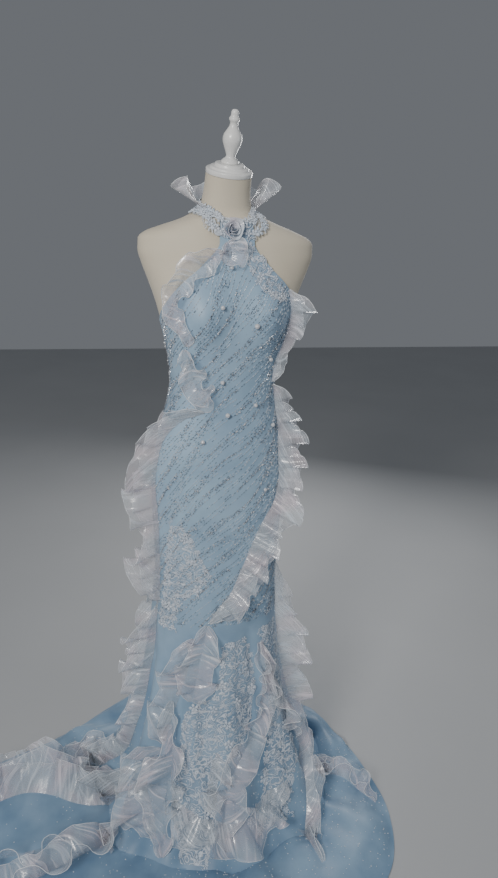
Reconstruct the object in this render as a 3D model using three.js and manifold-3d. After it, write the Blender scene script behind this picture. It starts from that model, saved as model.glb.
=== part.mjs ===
// Mermaid evening gown with a halter neck, shown on a limbless dress form and its stand.
// Millimetres, +Z up. The origin is on the floor, at the centre of the stand's base.
// The gown's front faces -Y. "Right" and "left" are the wearer's, so right is -X.
//
// A place on the gown is an angle round the figure and a level down it:
//   angle 0 is centre front, 90 the left side, -90 the right side and 180 centre back;
//   a level above 0 is a height, and from 0 to -100 it runs along the floor to the hem.
import * as THREE from "three";
import loadKernel from "manifold-3d";

const kernel = await loadKernel();
kernel.setup();

const clothWall = 1.8; // satin panels
const organzaWall = 1.2; // ruffles
const laceWall = 1.0; // lace that lies on a panel
const formEase = 0.9; // room between the form and the cloth
const seamGap = 0.5; // between two panels at their seam
const layGap = 0.9; // between the gown and a trim that lies on it
const ruffleLift = 0.7; // between the gown and the root of a ruffle
const formBottom = 760; // underside of the torso
const neckTop = 1508; // centre of the cut neck
const bodiceTop = 1422; // where the halter meets the collar
const sideTop = 1228; // top of the side seams
const tailTop = 520; // seam of the body panels and the tail
const neckTilt = 16; // degrees that the neck leans forward
const sectionPower = 2.25; // 2 is an ellipse, more is squarer
const poleRadius = 16;
const baseRadius = 140;
const baseHeight = 12;
const capRadius = 45.5;

const radians = THREE.MathUtils.degToRad;

// A short table with named columns.
function table(columns, rows) {
  const names = columns.split(" ");
  return rows.map((row) => Object.fromEntries(names.map((name, i) => [name, row[i]])));
}

// A smooth value of one column, read at a place along the table's first column.
function read(rows, key, column, at) {
  const down = rows[0][key] > rows.at(-1)[key];
  const inside = (row) => (down ? row[key] > at : row[key] < at);
  const found = rows.findIndex((row) => !inside(row));
  const i = THREE.MathUtils.clamp(found < 0 ? rows.length - 1 : found, 1, rows.length - 1);
  const [a, b] = [rows[i - 1], rows[i]];
  const slope = (p, q) => (q[column] - p[column]) / (q[key] - p[key]);
  const middle = slope(a, b);
  const soft = (other) => (other * middle > 0 ? (2 * other * middle) / (other + middle) : 0);
  const [startSlope, endSlope] = [
    i > 1 ? soft(slope(rows[i - 2], a)) : middle,
    i < rows.length - 1 ? soft(slope(b, rows[i + 1])) : middle,
  ];
  const span = b[key] - a[key];
  const t = THREE.MathUtils.clamp((at - a[key]) / span, 0, 1);
  const [t2, t3] = [t * t, t * t * t];
  return (
    (2 * t3 - 3 * t2 + 1) * a[column] +
    (t3 - 2 * t2 + t) * span * startSlope +
    (3 * t2 - 2 * t3) * b[column] +
    (t3 - t2) * span * endSlope
  );
}

// Sections of the form down to its underside, and of the hanging skirt below it.
const sections = table("level halfWidth front back shiftX shiftY tilt folds", [
  [neckTop, 44, 44, 44, -8, -19, neckTilt, 0],
  [1484, 45, 45, 45, -8, -12, neckTilt, 0],
  [1460, 48, 48, 48, -7, -5, 14, 0],
  [1445, 55, 53, 53, -5, -1, 10, 0],
  [1433, 73, 58, 57, -3, 0, 5, 0],
  [1422, 98, 62, 60, -1, 0, 1, 0],
  [1408, 138, 65, 61, 0, 0, 0, 0],
  [1396, 168, 68, 63, 0, 0, 0, 0],
  [1384, 181, 71, 65, 0, 0, 0, 0],
  [1363, 182, 75, 69, 0, 0, 0, 0],
  [1335, 174, 81, 75, 0, 0, 0, 0],
  [1305, 162, 88, 82, 0, 0, 0, 0],
  [1265, 147, 95, 88, 0, 0, 0, 0],
  [1225, 135, 97, 87, 0, 0, 0, 0],
  [1180, 123, 93, 81, 0, 0, 0, 0],
  [1140, 114, 87, 73, 0, 0, 0, 0],
  [1095, 110, 84, 68, 0, 0, 0, 0],
  [1050, 116, 86, 74, 0, 0, 0, 0],
  [1000, 129, 90, 88, 0, 0, 0, 0],
  [940, 141, 94, 102, 0, 0, 0, 0],
  [870, 148, 96, 108, 0, 0, 0, 0],
  [800, 146, 94, 104, 0, 0, 0, 0],
  [735, 143, 93, 100, 0, 0, 0, 0],
  [650, 142, 95, 100, 0, 0, 0, 0],
  [560, 147, 102, 108, 0, 0, 0, 2],
  [480, 153, 112, 118, 2, 0, 0, 5],
  [400, 161, 126, 134, 4, 0, 0, 9],
  [300, 177, 150, 160, 7, 0, 0, 14],
  [200, 200, 180, 194, 10, 0, 0, 18],
  [100, 232, 216, 236, 13, 0, 0, 20],
  [40, 264, 248, 268, 15, 0, 0, 20],
  [0, 300, 282, 300, 16, 0, 0, 18],
]);

// How far from the origin the hem reaches along the floor. The train is swept to the right front.
const hemline = table("angle reach", [
  [-180, 400],
  [-150, 385],
  [-132, 400],
  [-118, 455],
  [-106, 580],
  [-92, 800],
  [-77, 950],
  [-58, 890],
  [-41, 720],
  [-18, 560],
  [10, 520],
  [43, 515],
  [60, 485],
  [80, 430],
  [105, 395],
  [140, 390],
  [180, 400],
]);

// The halter's edge: half of the front panel's spread at each level.
const halterEdge = table("level spread", [
  [bodiceTop, 16],
  [1405, 11],
  [1383, 9],
  [1340, 20],
  [1310, 35],
  [1285, 50],
  [1260, 66],
  [1240, 81],
  [sideTop, 90],
]);

const bust = { apart: 70, level: 1240, wide: 40, tall: 52, full: 24 };
const folds = { coarse: 7, fine: 11, turn: 40, ripple: 26 };

// The uneven wave of the skirt's folds round the figure, from -1 to 1.
function foldWave(angle) {
  const coarse = Math.cos(radians(folds.coarse * angle + folds.turn));
  const fine = Math.cos(radians(folds.fine * angle - folds.turn));
  return 0.62 * coarse + 0.38 * fine;
}

function turned(angle) {
  return ((((angle + 180) % 360) + 360) % 360) - 180;
}

// A point of the figure: the form's surface, and below the form the inside of the skirt.
function figurePoint(angle, level, withFolds = true) {
  const at = (column) => read(sections, "level", column, Math.max(level, 0));
  const [s, c] = [Math.sin(radians(angle)), Math.cos(radians(angle))];
  const squared = (v) => Math.sign(v) * Math.abs(v) ** (2 / sectionPower);
  const depth = c > 0 ? at("front") : at("back");
  let x = at("halfWidth") * squared(s);
  let y = -depth * squared(c);
  if (c > 0) {
    const across = (Math.abs(x) - bust.apart) / bust.wide;
    const along = (level - bust.level) / bust.tall;
    y -= bust.full * Math.exp(-across * across - along * along);
  }
  const wave = withFolds ? foldWave(angle) : 0;
  const radius = Math.hypot(x, y);
  const pushed = 1 + (at("folds") * wave) / radius;
  const tilt = radians(at("tilt"));
  const floorStart = new THREE.Vector3(
    x * pushed + at("shiftX"),
    y * pushed * Math.cos(tilt) + at("shiftY"),
    Math.max(level, 0) + y * Math.sin(tilt),
  );
  if (level >= 0) return floorStart;
  const share = -level / 100;
  const reach = read(hemline, "angle", "reach", turned(angle));
  const hem = new THREE.Vector3(reach * s, -reach * c, 0);
  const ripple = folds.ripple * Math.sin(Math.PI * share ** 0.8) * (0.5 + 0.5 * wave);
  return floorStart.lerp(hem, share).setZ(Math.max(0, ripple));
}

function figureNormal(angle, level, withFolds = true) {
  const step = 0.4;
  const across = figurePoint(angle + step, level, withFolds).sub(
    figurePoint(angle - step, level, withFolds),
  );
  const down = figurePoint(angle, level - step, withFolds).sub(
    figurePoint(angle, level + step, withFolds),
  );
  return down.cross(across).normalize();
}

// The cloth's inside keeps off the form and lies on the floor.
function inside(angle, level) {
  const ease = formEase * THREE.MathUtils.smoothstep(level, formBottom - 60, formBottom);
  return figurePoint(angle, level).addScaledVector(figureNormal(angle, level), ease);
}

// A point on the cloth's outside, moved out by lift.
function outside(angle, level, lift = 0) {
  return inside(angle, level).addScaledVector(figureNormal(angle, level), clothWall + lift);
}

// A closed solid from two grids of points, one for each face of a wall.
function wall(name, near, far, material, wraps = false) {
  const [rows, columns] = [near.length, near[0].length];
  const points = [...near.flat(), ...far.flat()];
  const index = (side, i, j) => side * rows * columns + i * columns + (j % columns);
  const faces = [];
  const quad = (a, b, c, d) => faces.push(a, b, c, a, c, d);
  const lastColumn = wraps ? columns : columns - 1;
  for (let i = 0; i < rows - 1; i++)
    for (let j = 0; j < lastColumn; j++) {
      quad(index(0, i, j), index(0, i, j + 1), index(0, i + 1, j + 1), index(0, i + 1, j));
      quad(index(1, i, j), index(1, i + 1, j), index(1, i + 1, j + 1), index(1, i, j + 1));
    }
  for (let j = 0; j < lastColumn; j++) {
    const end = rows - 1;
    quad(index(0, 0, j + 1), index(0, 0, j), index(1, 0, j), index(1, 0, j + 1));
    quad(index(0, end, j), index(0, end, j + 1), index(1, end, j + 1), index(1, end, j));
  }
  if (!wraps)
    for (let i = 0; i < rows - 1; i++) {
      const end = columns - 1;
      quad(index(0, i, 0), index(0, i + 1, 0), index(1, i + 1, 0), index(1, i, 0));
      quad(index(0, i + 1, end), index(0, i, end), index(1, i, end), index(1, i + 1, end));
    }
  return solid(name, points, faces, material);
}

// A mesh from points and triangles, turned so that its faces point out.
function solid(name, points, faces, material) {
  let volume = 0;
  for (let i = 0; i < faces.length; i += 3) {
    const [a, b, c] = [points[faces[i]], points[faces[i + 1]], points[faces[i + 2]]];
    volume += a.dot(b.clone().cross(c));
  }
  const outward = volume > 0 ? faces : faces.slice().reverse();
  const geometry = new THREE.BufferGeometry().setFromPoints(points);
  geometry.setIndex(outward);
  geometry.computeVertexNormals();
  const mesh = new THREE.Mesh(geometry, material);
  mesh.name = name;
  return mesh;
}

function finish(color, roughness, metalness = 0) {
  return new THREE.MeshStandardMaterial({ color, roughness, metalness });
}

const satin = finish(0x8fb4d6, 0.45);
const organza = finish(0xdfe4ea, 0.25);
const lace = finish(0xe4e8f0, 0.7);
const linen = finish(0xcdbb98, 0.8);
const whitePaint = finish(0xeeeeec, 0.35);
const whiteMetal = finish(0xebebe9, 0.4);
const steel = finish(0xb9bcc0, 0.35, 0.8);
const pearl = finish(0xf1f1ee, 0.2);

// Evenly spread numbers from one value to another.
function spread(from, to, steps) {
  return Array.from({ length: steps + 1 }, (_, i) => from + ((to - from) * i) / steps);
}

// The panels made so far, which the trims read to lie on their facets.
const panels = [];

// A panel of the gown: a row of points for each level, between two edges.
function panel(name, levels, steps, edges, dip = () => 0) {
  const columns = levels.map((level) => {
    const radius = figurePoint(90, level).setZ(0).length();
    const gap = THREE.MathUtils.radToDeg(seamGap / 2 / radius);
    const [from, to] = edges(level);
    return spread(from + gap, to - gap, steps);
  });
  const grid = (place) =>
    levels.map((level, i) => {
      const down = Math.max(0, 1 - (3 * i) / levels.length);
      return columns[i].map((angle) => place(angle, level - dip(angle) * down * down));
    });
  const points = grid(outside);
  panels.push({ levels, columns, points });
  return wall(name, grid(inside), points, satin);
}

// The point of a panel's outer facets at an angle and a level.
function onPanel(angle, level) {
  const width = ({ columns: [row] }) => (row[0] + row.at(-1)) / 2;
  const off = ({ levels, columns }) => {
    const i = THREE.MathUtils.clamp(levels.findIndex((top) => top <= level), 1, levels.length - 1);
    const row = columns[i];
    const at = turned(angle - width({ columns })) + width({ columns });
    const outOfLevel = Math.max(level - levels[0], levels.at(-1) - level, 0);
    return 100 * outOfLevel + Math.max(row[0] - at, at - row.at(-1), 0);
  };
  const found = panels.reduce((best, next) => (off(next) < off(best) ? next : best));
  const { levels, columns, points } = found;
  const here = THREE.MathUtils.clamp(level, levels.at(-1), levels[0]);
  const below = levels.findIndex((top) => top < here);
  const i = (below < 0 ? levels.length - 1 : Math.max(below, 1)) - 1;
  const t = (levels[i] - here) / (levels[i] - levels[i + 1]);
  const row = columns[i].map((start, j) => start + (columns[i + 1][j] - start) * t);
  const middle = width(found);
  const at = THREE.MathUtils.clamp(turned(angle - middle) + middle, row[0], row.at(-1));
  const beyond = row.findIndex((start) => start > at);
  const j = (beyond < 0 ? row.length - 1 : Math.max(beyond, 1)) - 1;
  const share = (at - row[j]) / (row[j + 1] - row[j]);
  const corner = (down, across) => points[i + down][j + across].clone();
  const [first, last] = [corner(0, 0), corner(1, 1)];
  const turn = share > t ? corner(0, 1) : corner(1, 0);
  const [one, two] = share > t ? [share, t] : [t, share];
  return first
    .addScaledVector(turn.clone().sub(corner(0, 0)), one)
    .addScaledVector(last.sub(turn), two);
}

// A point that lies a little off the gown, for what is sewn on it.
function onGown(angle, level, lift = layGap) {
  let at = level;
  if (level > 900)
    for (let round = 0; round < 8; round++) at += level - onPanel(angle, at).z;
  return onPanel(angle, at).addScaledVector(figureNormal(angle, level), lift);
}

const bodiceLevels = [bodiceTop, 1405, 1386, 1363, 1340, 1318, 1296, 1274, 1252, sideTop];
const hipLevels = [1195, 1160, 1128, 1095, 1062, 1025, 985, 940, 895, 850, 800, 745, 690, 635, 577];
const bodyEnd = tailTop + seamGap / 2;
const frontSteps = 16;
const hangingLevels = [tailTop - seamGap / 2, 450, 370, 285, 200, 120, 60, 22];
const floorLevels = [0, -16, -36, -56, -78, -100];

function frontPanel() {
  const edges = (level) => {
    const half = level < sideTop ? 90 : read(halterEdge, "level", "spread", level);
    return [-half, half];
  };
  return panel("front_panel", [...bodiceLevels, ...hipLevels, bodyEnd], frontSteps, edges);
}

function backPanel(name, from, to) {
  const dip = (angle) => 45 * Math.sin(radians(Math.abs(turned(angle)) - 90));
  return panel(name, [sideTop, ...hipLevels, bodyEnd], 8, () => [from, to], dip);
}

const gores = table("name from to steps", [
  ["tail_front", -35, 35, 10],
  ["tail_left", 35, 110, 10],
  ["tail_back_left", 110, 180, 9],
  ["tail_back_right", 180, 250, 9],
  ["train", 250, 325, 12],
]);

function tailGore({ name, from, to, steps }) {
  return panel(name, [...hangingLevels, ...floorLevels], steps, () => [from, to]);
}

// How much slimmer the form is where cloth covers it.
function coverInset(angle, level) {
  if (level < sideTop - 1) return 2.2;
  if (level > bodiceTop) return 0;
  const beyond = Math.abs(angle) - read(halterEdge, "level", "spread", level);
  return 3.2 * (1 - THREE.MathUtils.smoothstep(beyond, 4, 16));
}

// The dress form: one smooth closed body from its underside to the cut neck.
function formTorso() {
  const steps = 32;
  const hidden = [1160, 1095, 1025, 940, 850, formBottom + 8, formBottom];
  const levels = [neckTop, 1484, 1460, 1445, 1433, ...bodiceLevels, ...hidden];
  const ring = (level) =>
    spread(-180, 180 - 360 / steps, steps - 1).map((angle) => {
      const inset = level > formBottom ? coverInset(angle, level) : 10;
      return figurePoint(angle, level, false).addScaledVector(
        figureNormal(angle, level, false),
        -inset,
      );
    });
  const rings = levels.map(ring);
  const points = rings.flat();
  const faces = [];
  for (let i = 0; i < levels.length - 1; i++)
    for (let j = 0; j < steps; j++) {
      const [a, b] = [i * steps + j, i * steps + ((j + 1) % steps)];
      faces.push(a, b + steps, b, a, a + steps, b + steps);
    }
  for (const [start, flip] of [[0, false], [(levels.length - 1) * steps, true]]) {
    const centre = points.length;
    const middle = new THREE.Vector3();
    for (let j = 0; j < steps; j++) middle.addScaledVector(points[start + j], 1 / steps);
    points.push(middle);
    for (let j = 0; j < steps; j++) {
      const pair = [start + j, start + ((j + 1) % steps)];
      faces.push(centre, ...(flip ? pair.reverse() : pair));
    }
  }
  return solid("form_torso", points, faces, linen);
}

// A turned piece: a profile of [radius, height] pairs, closed on the axis.
function turnedPiece(name, profile, sides, material) {
  const outline = profile.map(([radius, height]) => new THREE.Vector2(radius, height));
  const geometry = new THREE.LatheGeometry(outline, sides);
  geometry.rotateX(Math.PI / 2);
  const mesh = new THREE.Mesh(geometry, material);
  mesh.name = name;
  return mesh;
}

// The wooden neck cap and its finial, in the leaning frame of the cut neck.
function neckTopPieces() {
  const group = new THREE.Group();
  const top = figurePoint(0, neckTop, false).lerp(figurePoint(180, neckTop, false), 0.5);
  group.position.copy(top);
  group.rotation.x = radians(neckTilt);
  const gap = 0.3;
  const capHeight = 20;
  const cap = [
    [0, gap], [capRadius - 1, gap], [capRadius, gap + 1.5], [capRadius, 8], [capRadius - 1.5, 9.5],
    [38, 10.5], [37, 14], [29, 15], [28, capHeight - 1], [26, capHeight], [0, capHeight],
  ];
  const base = capHeight + gap;
  const finial = [
    [0, base], [17, base], [17.4, base + 3], [13, base + 8], [9, base + 11], [9, base + 15],
    [14, base + 27], [18.4, base + 41], [17.4, base + 49], [12, base + 58], [7.4, base + 67],
    [7.2, base + 71], [10, base + 76], [9.6, base + 79], [7.2, base + 82], [7.2, base + 89],
    [4.4, base + 93], [0, base + 94],
  ];
  group.add(turnedPiece("neck_cap", cap, 20, whitePaint));
  group.add(turnedPiece("finial", finial, 12, whitePaint));
  return group;
}

function standPieces() {
  const group = new THREE.Group();
  const gap = 0.3;
  const foot = [
    [0, 0], [baseRadius, 0], [baseRadius, baseHeight - 3], [baseRadius - 4, baseHeight],
    [0, baseHeight],
  ];
  const pole = [
    [0, baseHeight + gap], [34, baseHeight + gap], [34, 20], [22, 26], [22, 60],
    [poleRadius, 64], [poleRadius, formBottom - 12], [40, formBottom - 8],
    [40, formBottom - gap], [0, formBottom - gap],
  ];
  group.add(turnedPiece("stand_base", foot, 36, whiteMetal));
  group.add(turnedPiece("stand_pole", pole, 20, steel));
  return group;
}

const collar = { top: 1454, bottom: 1432, topDip: 28, bottomDip: 42, spread: 32 };

// The collar band, open by a hair at the nape. At the front it dips in a V over the halter.
function collarBand() {
  const grid = (lift) =>
    [0, 0.34, 0.67, 1].map((share) =>
      spread(-179.6, 179.6, 36).map((angle) => {
        const dip = Math.exp(-((angle / collar.spread) ** 2));
        const top = collar.top - collar.topDip * dip;
        const bottom = collar.bottom - collar.bottomDip * dip;
        const over = THREE.MathUtils.smoothstep(-Math.abs(angle), -44, -22) * 2.5;
        return outside(angle, top + (bottom - top) * share, lift + over);
      }),
    );
  return wall("collar_band", grid(-0.6), grid(1.4), lace);
}

// A gathered strip of organza whose root follows a path down the gown.
// side is 1 or -1 for the way it leans, lay the lean from upright in degrees,
// and turn moves its waves along.
function ruffle({ name, path, waves, side, turn = 0, depth = 0.42, root = onGown, lift = ruffleLift }) {
  const controls = path.map((row) => new THREE.Vector3(row.angle, row.level, 0));
  const route = new THREE.CatmullRomCurve3(controls, false, "centripetal");
  const widths = path.map((row, i) => ({ at: i / (path.length - 1), width: row.width, lay: row.lay }));
  const samples = spread(0, 1, 160);
  const place = (t, extra = 0) => {
    const p = route.getPoint(t);
    return root(p.x, p.y, lift + extra);
  };
  const lengths = [0];
  for (let i = 1; i < samples.length; i++)
    lengths.push(lengths[i - 1] + place(samples[i]).distanceTo(place(samples[i - 1])));
  const total = lengths.at(-1);
  const rate = (share) => {
    const i = Math.max(1, lengths.findIndex((length) => length >= share * total - 1e-6));
    const part = (share * total - lengths[i - 1]) / (lengths[i] - lengths[i - 1]);
    return samples[i - 1] + (samples[i] - samples[i - 1]) * part;
  };
  const stepsPerWave = 7;
  const steps = Math.round(waves * stepsPerWave);
  const heights = [0, 1];
  const middle = heights.map((height) =>
    spread(0, 1, steps).map((share) => {
      const t = rate(share);
      const start = place(t);
      const ahead = place(Math.min(1, t + 0.004)).sub(place(Math.max(0, t - 0.004))).normalize();
      const p = route.getPoint(t);
      const up = figureNormal(p.x, p.y, false);
      const away = up.clone().cross(ahead).normalize().multiplyScalar(side);
      up.copy(ahead.clone().cross(away).multiplyScalar(side)).normalize();
      const lay = radians(read(widths, "at", "lay", t));
      const out = up.clone().multiplyScalar(Math.cos(lay)).addScaledVector(away, Math.sin(lay));
      const across = away.multiplyScalar(Math.cos(lay)).addScaledVector(up, -Math.sin(lay));
      const uneven = 1 + 0.16 * Math.sin(2.3 * waves * share + turn) - 0.1 * Math.cos(4.1 * waves * share);
      const lobe = 1 + 0.15 * Math.cos(2 * Math.PI * waves * share + turn + 0.8);
      const taper = Math.min(1, (12 * share + 0.25) / 1.2, (12 * (1 - share) + 0.25) / 1.2);
      const width = read(widths, "at", "width", t) * uneven * lobe * taper;
      const phase = 2 * Math.PI * waves * share + turn;
      const swing = Math.min(width, 90) * depth * height;
      return start
        .addScaledVector(out, width * height + organzaWall / 2)
        .addScaledVector(across, swing * Math.sin(phase))
        .addScaledVector(ahead, -0.22 * swing * Math.sin(2 * phase));
    }),
  );
  const shifted = (amount) =>
    middle.map((row) =>
      row.map((point, j) => {
        const last = row.length - 1;
        const along = row[Math.min(j + 1, last)].clone().sub(row[Math.max(j - 1, 0)]);
        const up = middle[1][j].clone().sub(middle[0][j]);
        return point.clone().addScaledVector(along.cross(up).normalize(), amount);
      }),
    );
  return wall(name, shifted(-organzaWall / 2), shifted(organzaWall / 2), organza);
}

const pathColumns = "level angle width lay";
const ruffles = [
  {
    name: "ruffle_halter_right",
    waves: 4,
    side: -1,
    turn: 0.6,
    path: table(pathColumns, [
      [1365, -8, 20, 50],
      [1340, -19, 34, 50],
      [1316, -32, 38, 45],
      [1288, -45, 36, 45],
      [1245, -50, 26, 50],
      [1212, -43, 22, 55],
      [1184, -46, 16, 55],
    ]),
  },
  {
    name: "ruffle_waist_right",
    waves: 3,
    side: 1,
    turn: 1,
    path: table(pathColumns, [
      [1176, -51, 20, 50],
      [1150, -46, 36, 55],
      [1112, -41, 44, 55],
      [1078, -33, 38, 55],
      [1050, -19, 18, 55],
    ]),
  },
  {
    name: "ruffle_halter_left",
    waves: 4,
    side: 1,
    turn: 0.4,
    lift: 1.5,
    path: table(pathColumns, [
      [1296, 40, 14, 40],
      [1276, 46, 34, 30],
      [1248, 54, 50, 22],
      [1222, 59, 46, 20],
      [1195, 60, 34, 25],
      [1172, 55, 18, 40],
      [1150, 50, 28, 35],
      [1128, 50, 26, 35],
      [1105, 50, 14, 40],
    ]),
  },
  {
    name: "ruffle_hip_left",
    waves: 12,
    side: 1,
    turn: 1,
    path: table(pathColumns, [
      [1096, 56, 14, 30],
      [1078, 60, 44, 30],
      [1050, 61, 46, 35],
      [1005, 58, 60, 40],
      [948, 52, 62, 40],
      [880, 49, 62, 40],
      [830, 44, 66, 45],
      [792, 31, 66, 50],
      [732, 20, 66, 50],
      [676, 11, 62, 50],
      [616, 2, 58, 50],
      [576, -8, 44, 50],
      [552, -13, 24, 50],
    ]),
  },
  {
    name: "ruffle_hip_right",
    waves: 6,
    side: -1,
    turn: 2,
    path: table(pathColumns, [
      [1044, -26, 26, 55],
      [1028, -46, 40, 50],
      [985, -68, 52, 40],
      [940, -76, 54, 20],
      [880, -77, 76, 10],
      [800, -74, 72, 8],
      [750, -73, 50, 8],
      [690, -73, 76, 8],
      [640, -72, 78, 8],
      [585, -71, 58, 10],
    ]),
  },
  {
    name: "ruffle_tail_right",
    waves: 8,
    side: -1,
    turn: 0.5,
    path: table(pathColumns, [
      [560, -74, 30, 10],
      [508, -78, 66, 10],
      [440, -82, 84, 8],
      [380, -86, 82, 8],
      [310, -87, 60, 12],
      [240, -88, 46, 20],
      [160, -90, 50, 30],
      [90, -94, 64, 30],
      [30, -100, 80, 20],
      [-20, -106, 86, 12],
      [-42, -108, 60, 10],
    ]),
  },
  {
    name: "ruffle_tail_left",
    waves: 8,
    side: 1,
    path: table(pathColumns, [
      [660, 62, 24, 20],
      [600, 66, 34, 20],
      [545, 67, 44, 20],
      [500, 68, 72, 18],
      [430, 69, 86, 16],
      [370, 70, 80, 16],
      [310, 70, 76, 18],
      [240, 70, 58, 20],
      [160, 67, 52, 25],
      [104, 52, 46, 32],
      [46, 39, 44, 32],
      [4, 32, 44, 24],
      [-40, 28, 42, 14],
    ]),
  },
  {
    name: "ruffle_front_upper",
    waves: 3,
    side: 1,
    path: table(pathColumns, [
      [546, -14, 18, 55],
      [500, -17, 42, 58],
      [440, -22, 54, 58],
      [390, -25, 50, 55],
      [358, -27, 34, 50],
    ]),
  },
  {
    name: "ruffle_front_right",
    waves: 5,
    side: -1,
    turn: 1.5,
    path: table(pathColumns, [
      [352, -46, 26, 45],
      [300, -45, 36, 40],
      [245, -42, 44, 34],
      [205, -41, 80, 32],
      [165, -42, 100, 34],
      [125, -43, 84, 38],
      [85, -42, 50, 40],
      [40, -37, 48, 36],
      [12, -35, 38, 30],
    ]),
  },
  {
    name: "ruffle_front_left",
    waves: 6,
    side: 1,
    turn: 2.4,
    path: table(pathColumns, [
      [480, 29, 26, 45],
      [420, 31, 40, 38],
      [360, 30, 42, 32],
      [310, 26, 40, 32],
      [265, 16, 42, 42],
      [225, 4, 48, 50],
      [185, -2, 60, 50],
      [150, -4, 68, 48],
      [110, -5, 50, 46],
      [70, -6, 38, 42],
      [36, -5, 36, 35],
    ]),
  },
  {
    name: "ruffle_train_upper",
    waves: 5,
    side: -1,
    turn: 0.8,
    path: table(pathColumns, [
      [104, -80, 56, 28],
      [50, -80, 86, 26],
      [0, -83, 104, 24],
      [-22, -91, 112, 26],
      [-36, -93, 106, 26],
      [-52, -91, 92, 22],
      [-70, -88, 66, 16],
    ]),
  },
  {
    name: "ruffle_train_lower",
    waves: 6,
    side: 1,
    turn: 2,
    path: table(pathColumns, [
      [30, -62, 60, 30],
      [-22, -64, 66, 30],
      [-48, -68, 66, 25],
      [-72, -66, 60, 25],
      [-88, -60, 52, 25],
    ]),
  },
  {
    name: "ruffle_train_left",
    waves: 4,
    side: 1,
    turn: 1,
    path: table(pathColumns, [
      [40, 74, 30, 20],
      [4, 76, 50, 12],
      [-30, 71, 56, 8],
      [-55, 66, 50, 8],
      [-80, 62, 44, 8],
    ]),
  },
  {
    name: "ruffle_back_left",
    waves: 7,
    side: 1,
    turn: 1,
    path: table(pathColumns, [
      [560, 128, 50, 20],
      [440, 132, 64, 20],
      [320, 136, 60, 25],
      [200, 138, 60, 30],
      [90, 140, 60, 30],
      [15, 140, 50, 25],
    ]),
  },
  {
    name: "ruffle_back_right",
    waves: 7,
    side: -1,
    turn: 2,
    path: table(pathColumns, [
      [560, -128, 50, 20],
      [440, -132, 64, 20],
      [320, -136, 60, 25],
      [200, -138, 60, 30],
      [90, -140, 60, 30],
      [15, -140, 50, 25],
    ]),
  },
  {
    name: "collar_jabot",
    waves: 2,
    side: 1,
    turn: 0.5,
    path: table(pathColumns, [
      [1384, -5, 18, 55],
      [1370, -3, 34, 58],
      [1356, -3, 34, 55],
      [1342, -6, 18, 50],
    ]),
  },
];

// The frill that stands up from the collar, tallest at the sides and the back.
function collarRuffle() {
  return ruffle({
    name: "collar_ruffle",
    waves: 6,
    side: 1,
    depth: 0.3,
    root: outside,
    lift: 1.9,
    path: table(pathColumns, [
      [1447, 52, 16, 25],
      [1447, 72, 46, 20],
      [1447, 100, 62, 12],
      [1447, 140, 60, 10],
      [1447, 180, 56, 10],
      [1447, 220, 60, 10],
      [1447, 262, 64, 14],
      [1447, 290, 46, 20],
      [1447, 306, 16, 25],
    ]),
  });
}

// Lace that lies on the gown: at each level it spreads from one angle to another.
const laces = [
  {
    name: "lace_hip_right",
    rows: table("level from to", [
      [790, -50, -44], [755, -56, -30], [710, -58, -22], [665, -60, -12], [640, -62, -22],
      [590, -64, -44], [530, -66, -50],
    ]),
  },
  {
    name: "lace_bodice_left",
    rows: table("level from to", [
      [1375, 3, 7],
      [1345, 6, 15],
      [1318, 10, 24],
      [1297, 19, 32],
      [1278, 26, 38],
    ]),
  },
  {
    name: "lace_tail_front",
    rows: table("level from to", [
      [500, 2, 14],
      [470, -2, 20],
      [420, -4, 23],
      [370, -8, 24],
      [335, -30, 19],
      [290, -34, 13],
      [250, -34, 5],
      [215, -33, -6],
      [160, -36, -9],
      [110, -36, -10],
      [60, -30, -12],
      [10, -26, -14],
    ]),
  },
  {
    name: "lace_tail_left",
    rows: table("level from to", [
      [516, 36, 56],
      [430, 36, 60],
      [350, 35, 60],
      [270, 32, 56],
      [190, 26, 48],
      [120, 19, 38],
      [40, 8, 26],
    ]),
  },
  {
    name: "lace_train",
    rows: table("level from to", [
      [-30, -52, -44], [-44, -56, -40], [-58, -57, -38], [-72, -55, -40], [-84, -50, -43],
    ]),
  },
];

// The angles of the panels' own points at a level, which the lace shares.
function ownAngles(level) {
  const half = level < sideTop ? 90 : read(halterEdge, "level", "spread", level);
  if (level > tailTop) return spread(-half, half, frontSteps);
  return gores.flatMap(({ from, to, steps }) => spread(from - 360, to - 360, steps).slice(1))
    .concat(gores.flatMap(({ from, to, steps }) => spread(from, to, steps).slice(1)))
    .filter((angle) => Math.abs(angle) < 180);
}

function kernelSolid({ geometry }) {
  const { position } = geometry.attributes;
  const [vertProperties, triVerts] = [position.array, new Uint32Array(geometry.index.array)];
  return new kernel.Manifold(new kernel.Mesh({ numProp: 3, vertProperties, triVerts }));
}

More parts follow.
